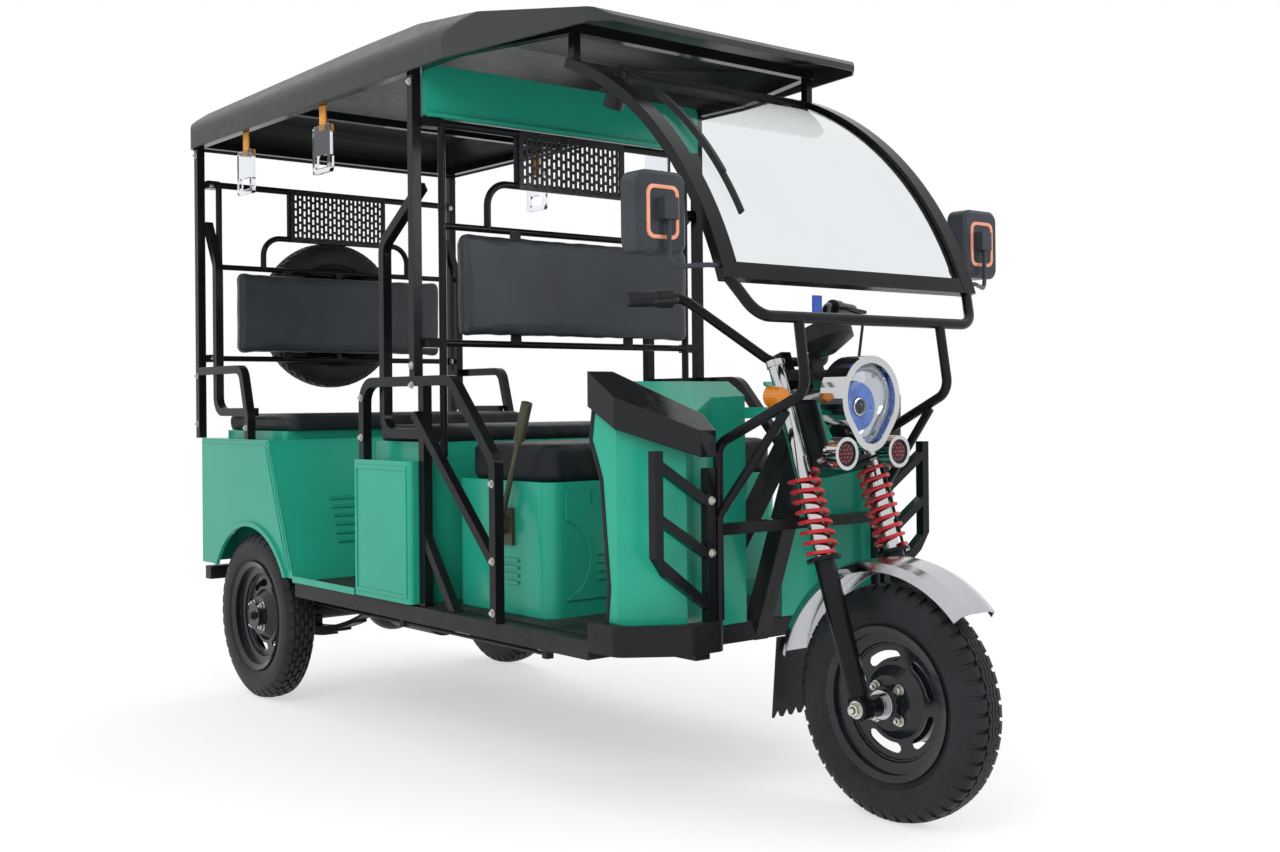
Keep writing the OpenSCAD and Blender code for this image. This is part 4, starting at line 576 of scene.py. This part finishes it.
# X, Y and heights of the bolts that face forward: in the rear seat back's frame and the leg guards
BACK_BOLTS = (-352, 452, (1042, 1600))
GUARD_BOLTS = (1847, 282, (676, 564))
body_bolts = Shape()
for sign in (-1, 1):
    for x, z in SIDE_BOLTS:
        body_bolts.bolt(V(x, sign * BODY_SIDE_Y, z), Y * sign)
    x, y, heights = BACK_BOLTS
    for z in heights:
        body_bolts.bolt(V(x, sign * y, z), X, 0.011, 0.005)
    x, y, heights = GUARD_BOLTS
    for z in heights:
        body_bolts.bolt(V(x, sign * y, z), X)
body_bolts.made("body_bolts", ZINC, "body")

# Wheel: X and Y of its middle, outer side, and the nuts' seat from the middle
NUT_CIRCLE = 45
WHEEL_NUTS = {"front_wheel": (WHEELBASE, 0, -1, 28), "rear_wheel_right": (0, -REAR_WHEEL_Y, -1, 27),
              "rear_wheel_left": (0, REAR_WHEEL_Y, 1, 27)}
for body, (x, y, sign, seat) in WHEEL_NUTS.items():
    nuts = Shape()
    for i in range(4):
        a = math.pi / 4 + math.pi / 2 * i
        nuts.bolt(V(x + NUT_CIRCLE * math.cos(a), y + sign * seat, TYRE_R + NUT_CIRCLE * math.sin(a)), Y * sign,
                  0.017, 0.011)
    nuts.made(body + "_nuts", ZINC, body)


# Inside of the headlamp

LAMP_X, LAMP_Z = WHEELBASE - 127, 865
# Egg: upper radius, lower radius, from centre to centre, height of the upper centre; then the bezel's width
EGG_TOP, EGG_LOW, EGG_GAP, EGG_RISE, BEZEL = 92, 60, 54, 26, 16
# Heights above the lamp's middle of the point that the cover draws in to, and of the eye
EGG_MID, EYE_RISE = 6, 8
FLUTES, FLUTE_DEPTH = 72, 1.6
# Rows of a form: share of the outline, distance forward
BOWL = ((0.03, 14.3), (0.985, 14.3), (0.985, 43), (0.96, 43), (0.90, 30), (0.76, 21), (0.5, 17), (0.03, 16))
COVER = ((0.99, 44), (0.99, 51), (0.95, 55), (0.84, 59), (0.6, 62), (0.3, 63.4), (0.02, 63.8), (0.02, 61.8),
         (0.3, 61.4), (0.6, 60), (0.82, 57), (0.92, 53.5), (0.96, 50), (0.96, 44))
# Radius and distance along the axis, in metres
EYE = [(0.020, 0), (0.020, 0.012), (0.017, 0.013), (0.016, 0.010)]
PUPIL = [(0.0158, 0), (0.0145, 0.004), (0.011, 0.007), (0.006, 0.009), (0.001, 0.0095)]


def egg(grow, n=56):
    """Outline of the headlamp's face, as in the part's source: pairs of y and z in millimetres."""
    outline = []
    for i in range(n):
        a = TURN * i / n
        upper = math.sin(a) > -(EGG_TOP - EGG_LOW) / EGG_GAP
        r, z = (EGG_TOP + grow, EGG_RISE) if upper else (EGG_LOW + grow, EGG_RISE - EGG_GAP)
        outline.append((r * math.cos(a), z + r * math.sin(a)))
    return outline


def egg_form(name, material, rows, grow, wrap=False):
    """Rows of (share of the outline, distance forward) skinned into one closed form."""
    s = Shape()
    outline = egg(grow)
    s.grid([[V(LAMP_X + x, y * k, LAMP_Z + EGG_MID + (z - EGG_MID) * k) for y, z in outline] for k, x in rows],
           True, wrap)
    if not wrap:
        n = len(outline)
        s.faces.append(list(range(n)))
        s.faces.append(list(range(n * (len(rows) - 1), n * len(rows))))
    return s.made(name, material, "steering", angle=50)


egg_form("lamp_bowl", CHROME, BOWL, -BEZEL)
cover = egg_form("lamp_cover", LAMP_GLASS, COVER, -BEZEL, wrap=True)
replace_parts(cover, "headlamp_lens")
ring = Shape()
rows = []
for i in range(FLUTES):
    a = TURN * i / FLUTES
    rib = FLUTE_DEPTH if i % 2 else 0
    rows.append([V(LAMP_X + x, r * math.cos(a), LAMP_Z + EYE_RISE + r * math.sin(a))
                 for r, x in ((21, 22), (22, 29 + rib), (40, 31 + rib), (52, 27 + rib), (55, 22))])
ring.grid(rows, wrap_u=True, wrap_v=True)
ring.made("lamp_ring", LAMP_BLUE, "steering", angle=20)
eye = Shape()
eye.turned(V(LAMP_X + 20, 0, LAMP_Z + EYE_RISE), X, EYE, 40)
eye.made("lamp_eye", CHROME, "steering")
pupil = Shape()
pupil.turned(V(LAMP_X + 29, 0, LAMP_Z + EYE_RISE), X, PUPIL, 32)
pupil.made("lamp_pupil", CAP, "steering")

# Horn faces with rings of red holes

# Middle of a horn in the fork's frame, and its rings as radius and count
HORN_X, HORN_Y, HORN_Z = 84, 84, 525
HORN_RINGS = ((0, 1), (9, 6), (18, 12))
faces, dots = Shape(), Shape()
for sign in (-1, 1):
    mid = F(HORN_X, sign * HORN_Y, HORN_Z)
    faces.turned(mid + X * 0.0246, X, [(0.0268, 0), (0.0268, 0.0008), (0.0255, 0.0012)], 48)
    for r, count in HORN_RINGS:
        for i in range(count):
            a = TURN * i / count
            dots.turned(mid + X * 0.0256 + (Y * math.cos(a) + Z * math.sin(a)) * r / 1000, X,
                        [(0.0023, 0), (0.0021, 0.0006)], 12)
faces.made("horn_faces", CAP, "steering")
dots.made("horn_dots", RED, "steering")


# Mirrors: glass behind, copper ring in front

MIRROR_X, MIRROR_Y, MIRROR_Z = 1930, 508, 1262
# Distance forward, half width, half height; the ring's rows also have their corner
GLASS_ROWS = ((-28.9, 2, 2), (-28.9, 54, 72), (-30.2, 54, 72), (-30.8, 52, 70), (-30.8, 2, 2))
GLASS_CORNER = 16
RING_ROWS = ((28.8, 42, 54, 18), (31.5, 41, 53, 17), (31.5, 34, 46, 12), (28.8, 33, 45, 11))


def plate_outline(half_y, half_z, r, n=6):
    """Rounded rectangle as pairs of y and z."""
    points = []
    for k, (sy, sz) in enumerate(((1, 1), (-1, 1), (-1, -1), (1, -1))):
        for i in range(n + 1):
            a = math.pi / 2 * (k + i / n)
            points.append((sy * (half_y - r) + r * math.cos(a), sz * (half_z - r) + r * math.sin(a)))
    return points


mirror_glass, mirror_rings = Shape(), Shape()
for sign in (-1, 1):
    rows = [[V(MIRROR_X + x, sign * MIRROR_Y + y, MIRROR_Z + z)
             for y, z in plate_outline(hy, hz, min(GLASS_CORNER, hy - 1))] for x, hy, hz in GLASS_ROWS]
    mirror_glass.grid(rows, wrap_u=True, wrap_v=True)
    rows = [[V(MIRROR_X + x, sign * MIRROR_Y + y, MIRROR_Z + z) for y, z in plate_outline(hy, hz, r)]
            for x, hy, hz, r in RING_ROWS]
    mirror_rings.grid(rows, wrap_u=True, wrap_v=True)
mirror_glass.made("mirror_glass", MIRROR, "body")
mirror_rings.made("mirror_rings", COPPER, "body")

# Webbing of the grab handles

# X and side of each handle, height and half width along a strap, then its distance from the middle and half thickness
STRAP_PLACES = ((-50, -1), (455, -1), (165, 1), (795, 1))
STRAP_ROWS = ((1655, 17.2), (1662, 17.6), (1690, 17.6), (1718, 17.6), (1725, 17.4))
STRAP_Y, STRAP_HALF = 469.5, 2.3
CORNERS = ((-1, -1), (1, -1), (1, 1), (-1, 1))
straps = Shape()
for x, sign in STRAP_PLACES:
    rows = [[V(x + wide * u, sign * STRAP_Y + STRAP_HALF * v, z) for u, v in CORNERS] for z, wide in STRAP_ROWS]
    n = len(straps.verts)
    last = n + 4 * (len(rows) - 1)
    straps.grid(rows, wrap_u=True)
    straps.faces.append([n, n + 1, n + 2, n + 3])
    straps.faces.append([last, last + 1, last + 2, last + 3])
straps.made("handle_straps", WEBBING, "body", smooth=False)

# Rubber edge along the leg shield's sides, key tag, front hub's sleeve and axle nuts

# X and Z down to up along the shield's edge, and its distance from the middle
SHIELD_EDGE = ((1689, 392), (1701, 490), (1677, 722), (1660, 764), (1641, 806), (1660, 930))
SHIELD_HALF = 444
edging = Shape()
for sign in (-1, 1):
    edging.tube([V(x, sign * SHIELD_HALF, z) for x, z in SHIELD_EDGE], 0.0065, 14)
edging.made("shield_edging", RUBBER, "body")

TAG_AT = (1921, -30, 1100)
TAG_HALF_X, TAG_HALF_Y = 3, 13
tag = Shape()
tag.grid([[V(TAG_AT[0] + TAG_HALF_X * u, TAG_AT[1] + TAG_HALF_Y * v, TAG_AT[2] + z) for u, v in CORNERS]
          for z in (-19, -17, 17, 19)], wrap_u=True)
tag.faces += [[0, 1, 2, 3], [12, 13, 14, 15]]
tag.made("key_tag", BLUE, "steering", smooth=False)

# Distance of the sleeve's root and of the axle's ends from the middle, and the sleeve's radii and distances in metres
SLEEVE_Y, AXLE_END_Y = 44.2, 126.2
SLEEVE = [(0.0120, 0), (0.0315, 0), (0.0315, 0.0075), (0.0306, 0.0085), (0.0234, 0.0085), (0.0234, 0.0210),
          (0.0228, 0.0217), (0.0120, 0.0217)]
sleeve = Shape()
sleeve.turned(V(WHEELBASE, -SLEEVE_Y, TYRE_R), -Y, SLEEVE, 40, caps=False)
sleeve.made("front_sleeve", POLISHED, "front_wheel")
axle_nuts = Shape()
for sign in (-1, 1):
    axle_nuts.bolt(V(WHEELBASE, sign * AXLE_END_Y, TYRE_R), Y * sign, 0.026, 0.013)
axle_nuts.made("axle_nuts", ZINC, "steering")


# Studio

# Half side of the floor in metres
FLOOR_HALF = 40
# A lamp's name, place, aim, side in metres and power in watts
LAMPS = (("key", (2.6, -4.2, 3.8), (0.1, 0, 0.8), 2.2, 110), ("fill", (4.6, 2.2, 2.6), (0.3, 0, 0.8), 2.0, 60),
         ("back", (-3.6, 2.4, 3.6), (0, 0, 1.0), 2.2, 60))


def plain_stage():
    """Pale floor that keeps the shadow and fades to white, white world, and three soft lamps."""
    m, t, b = tree_of("studio_floor")
    where = add(t, "TexCoord").outputs["Object"]
    drift = add(t, "TexNoise", {"Vector": where, "Scale": 0.8, "Detail": 3.0}).outputs[0]
    t.links.new(mix(t, drift, (0.94, 0.94, 0.94, 1), (0.96, 0.96, 0.96, 1)), b.inputs["Base Color"])
    b.inputs["Roughness"].default_value = 0.9
    b.inputs["Specular IOR Level"].default_value = 0.1
    far = add(t, "VectorMath", {0: where}, operation="LENGTH").outputs["Value"]
    fade = remap(t, far, 0.6, 2.8, 0.5, 1.0)
    light = add(t, "LightPath")
    seen = light.outputs["Is Camera Ray"]
    for kind in ("Is Glossy Ray", "Is Transmission Ray"):
        seen = add(t, "Math", {0: seen, 1: light.outputs[kind]}, operation="MAXIMUM").outputs[0]
    glow = add(t, "Emission", {"Strength": 1.0})
    both = add(t, "MixShader", {0: times(t, fade, seen), 1: b.outputs[0], 2: glow.outputs[0]})
    out = [n for n in t.nodes if n.bl_idname == "ShaderNodeOutputMaterial"][0]
    t.links.new(both.outputs[0], out.inputs[0])
    mesh = bpy.data.meshes.new("studio_floor")
    mesh.from_pydata([(FLOOR_HALF * u, FLOOR_HALF * v, 0) for u, v in CORNERS], [], [[0, 1, 2, 3]])
    mesh.materials.append(m)
    floor = bpy.data.objects.new("studio_floor", mesh)
    bpy.context.scene.collection.objects.link(floor)

    world = bpy.data.worlds.new("studio")
    world.use_nodes = True
    wt = world.node_tree
    wt.nodes.clear()
    white = add(wt, "Background", {0: (1, 1, 1, 1), 1: 1.0})
    wo = wt.nodes.new("ShaderNodeOutputWorld")
    wt.links.new(white.outputs[0], wo.inputs[0])
    bpy.context.scene.world = world

    for name, place, aim, size, power in LAMPS:
        lamp = bpy.data.lights.new(name, "AREA")
        lamp.size = size
        lamp.energy = power
        o = bpy.data.objects.new(name, lamp)
        o.location = place
        o.rotation_euler = (Vector(aim) - Vector(place)).to_track_quat("-Z", "Y").to_euler()
        o.visible_glossy = False
        bpy.context.scene.collection.objects.link(o)


plain_stage()

# Camera fitted to the photograph: turn, tilt and roll, place in millimetres, and focal length, picture width,
# half height and height of the middle in pixels
AZ, EL, ROLL = math.radians(50.42), math.radians(-0.1726), math.radians(-0.52)
CAMERA_AT = (4104.58, -2343.9, 886.43)
FOCAL, PICTURE_W, PICTURE_HALF, PICTURE_MID = 1432.28, 1280, 426, 398.2
SENSOR = 36
back = Vector((math.sin(AZ) * math.cos(EL), -math.cos(AZ) * math.cos(EL), math.sin(EL)))
right = Z.cross(back).normalized()
up = back.cross(right)
cam_x = right * math.cos(ROLL) + up * math.sin(ROLL)
cam_y = -right * math.sin(ROLL) + up * math.cos(ROLL)
camera = bpy.data.objects.new("camera", bpy.data.cameras.new("camera"))
camera.data.sensor_width = SENSOR
camera.data.lens = SENSOR * FOCAL / PICTURE_W
camera.data.shift_y = -(PICTURE_HALF - PICTURE_MID) / PICTURE_W
turn = Matrix((cam_x, cam_y, back)).transposed().to_4x4()
camera.matrix_world = Matrix.Translation(V(*CAMERA_AT)) @ turn
bpy.context.scene.collection.objects.link(camera)
bpy.context.scene.camera = camera
bpy.context.scene.view_settings.view_transform = "Standard"
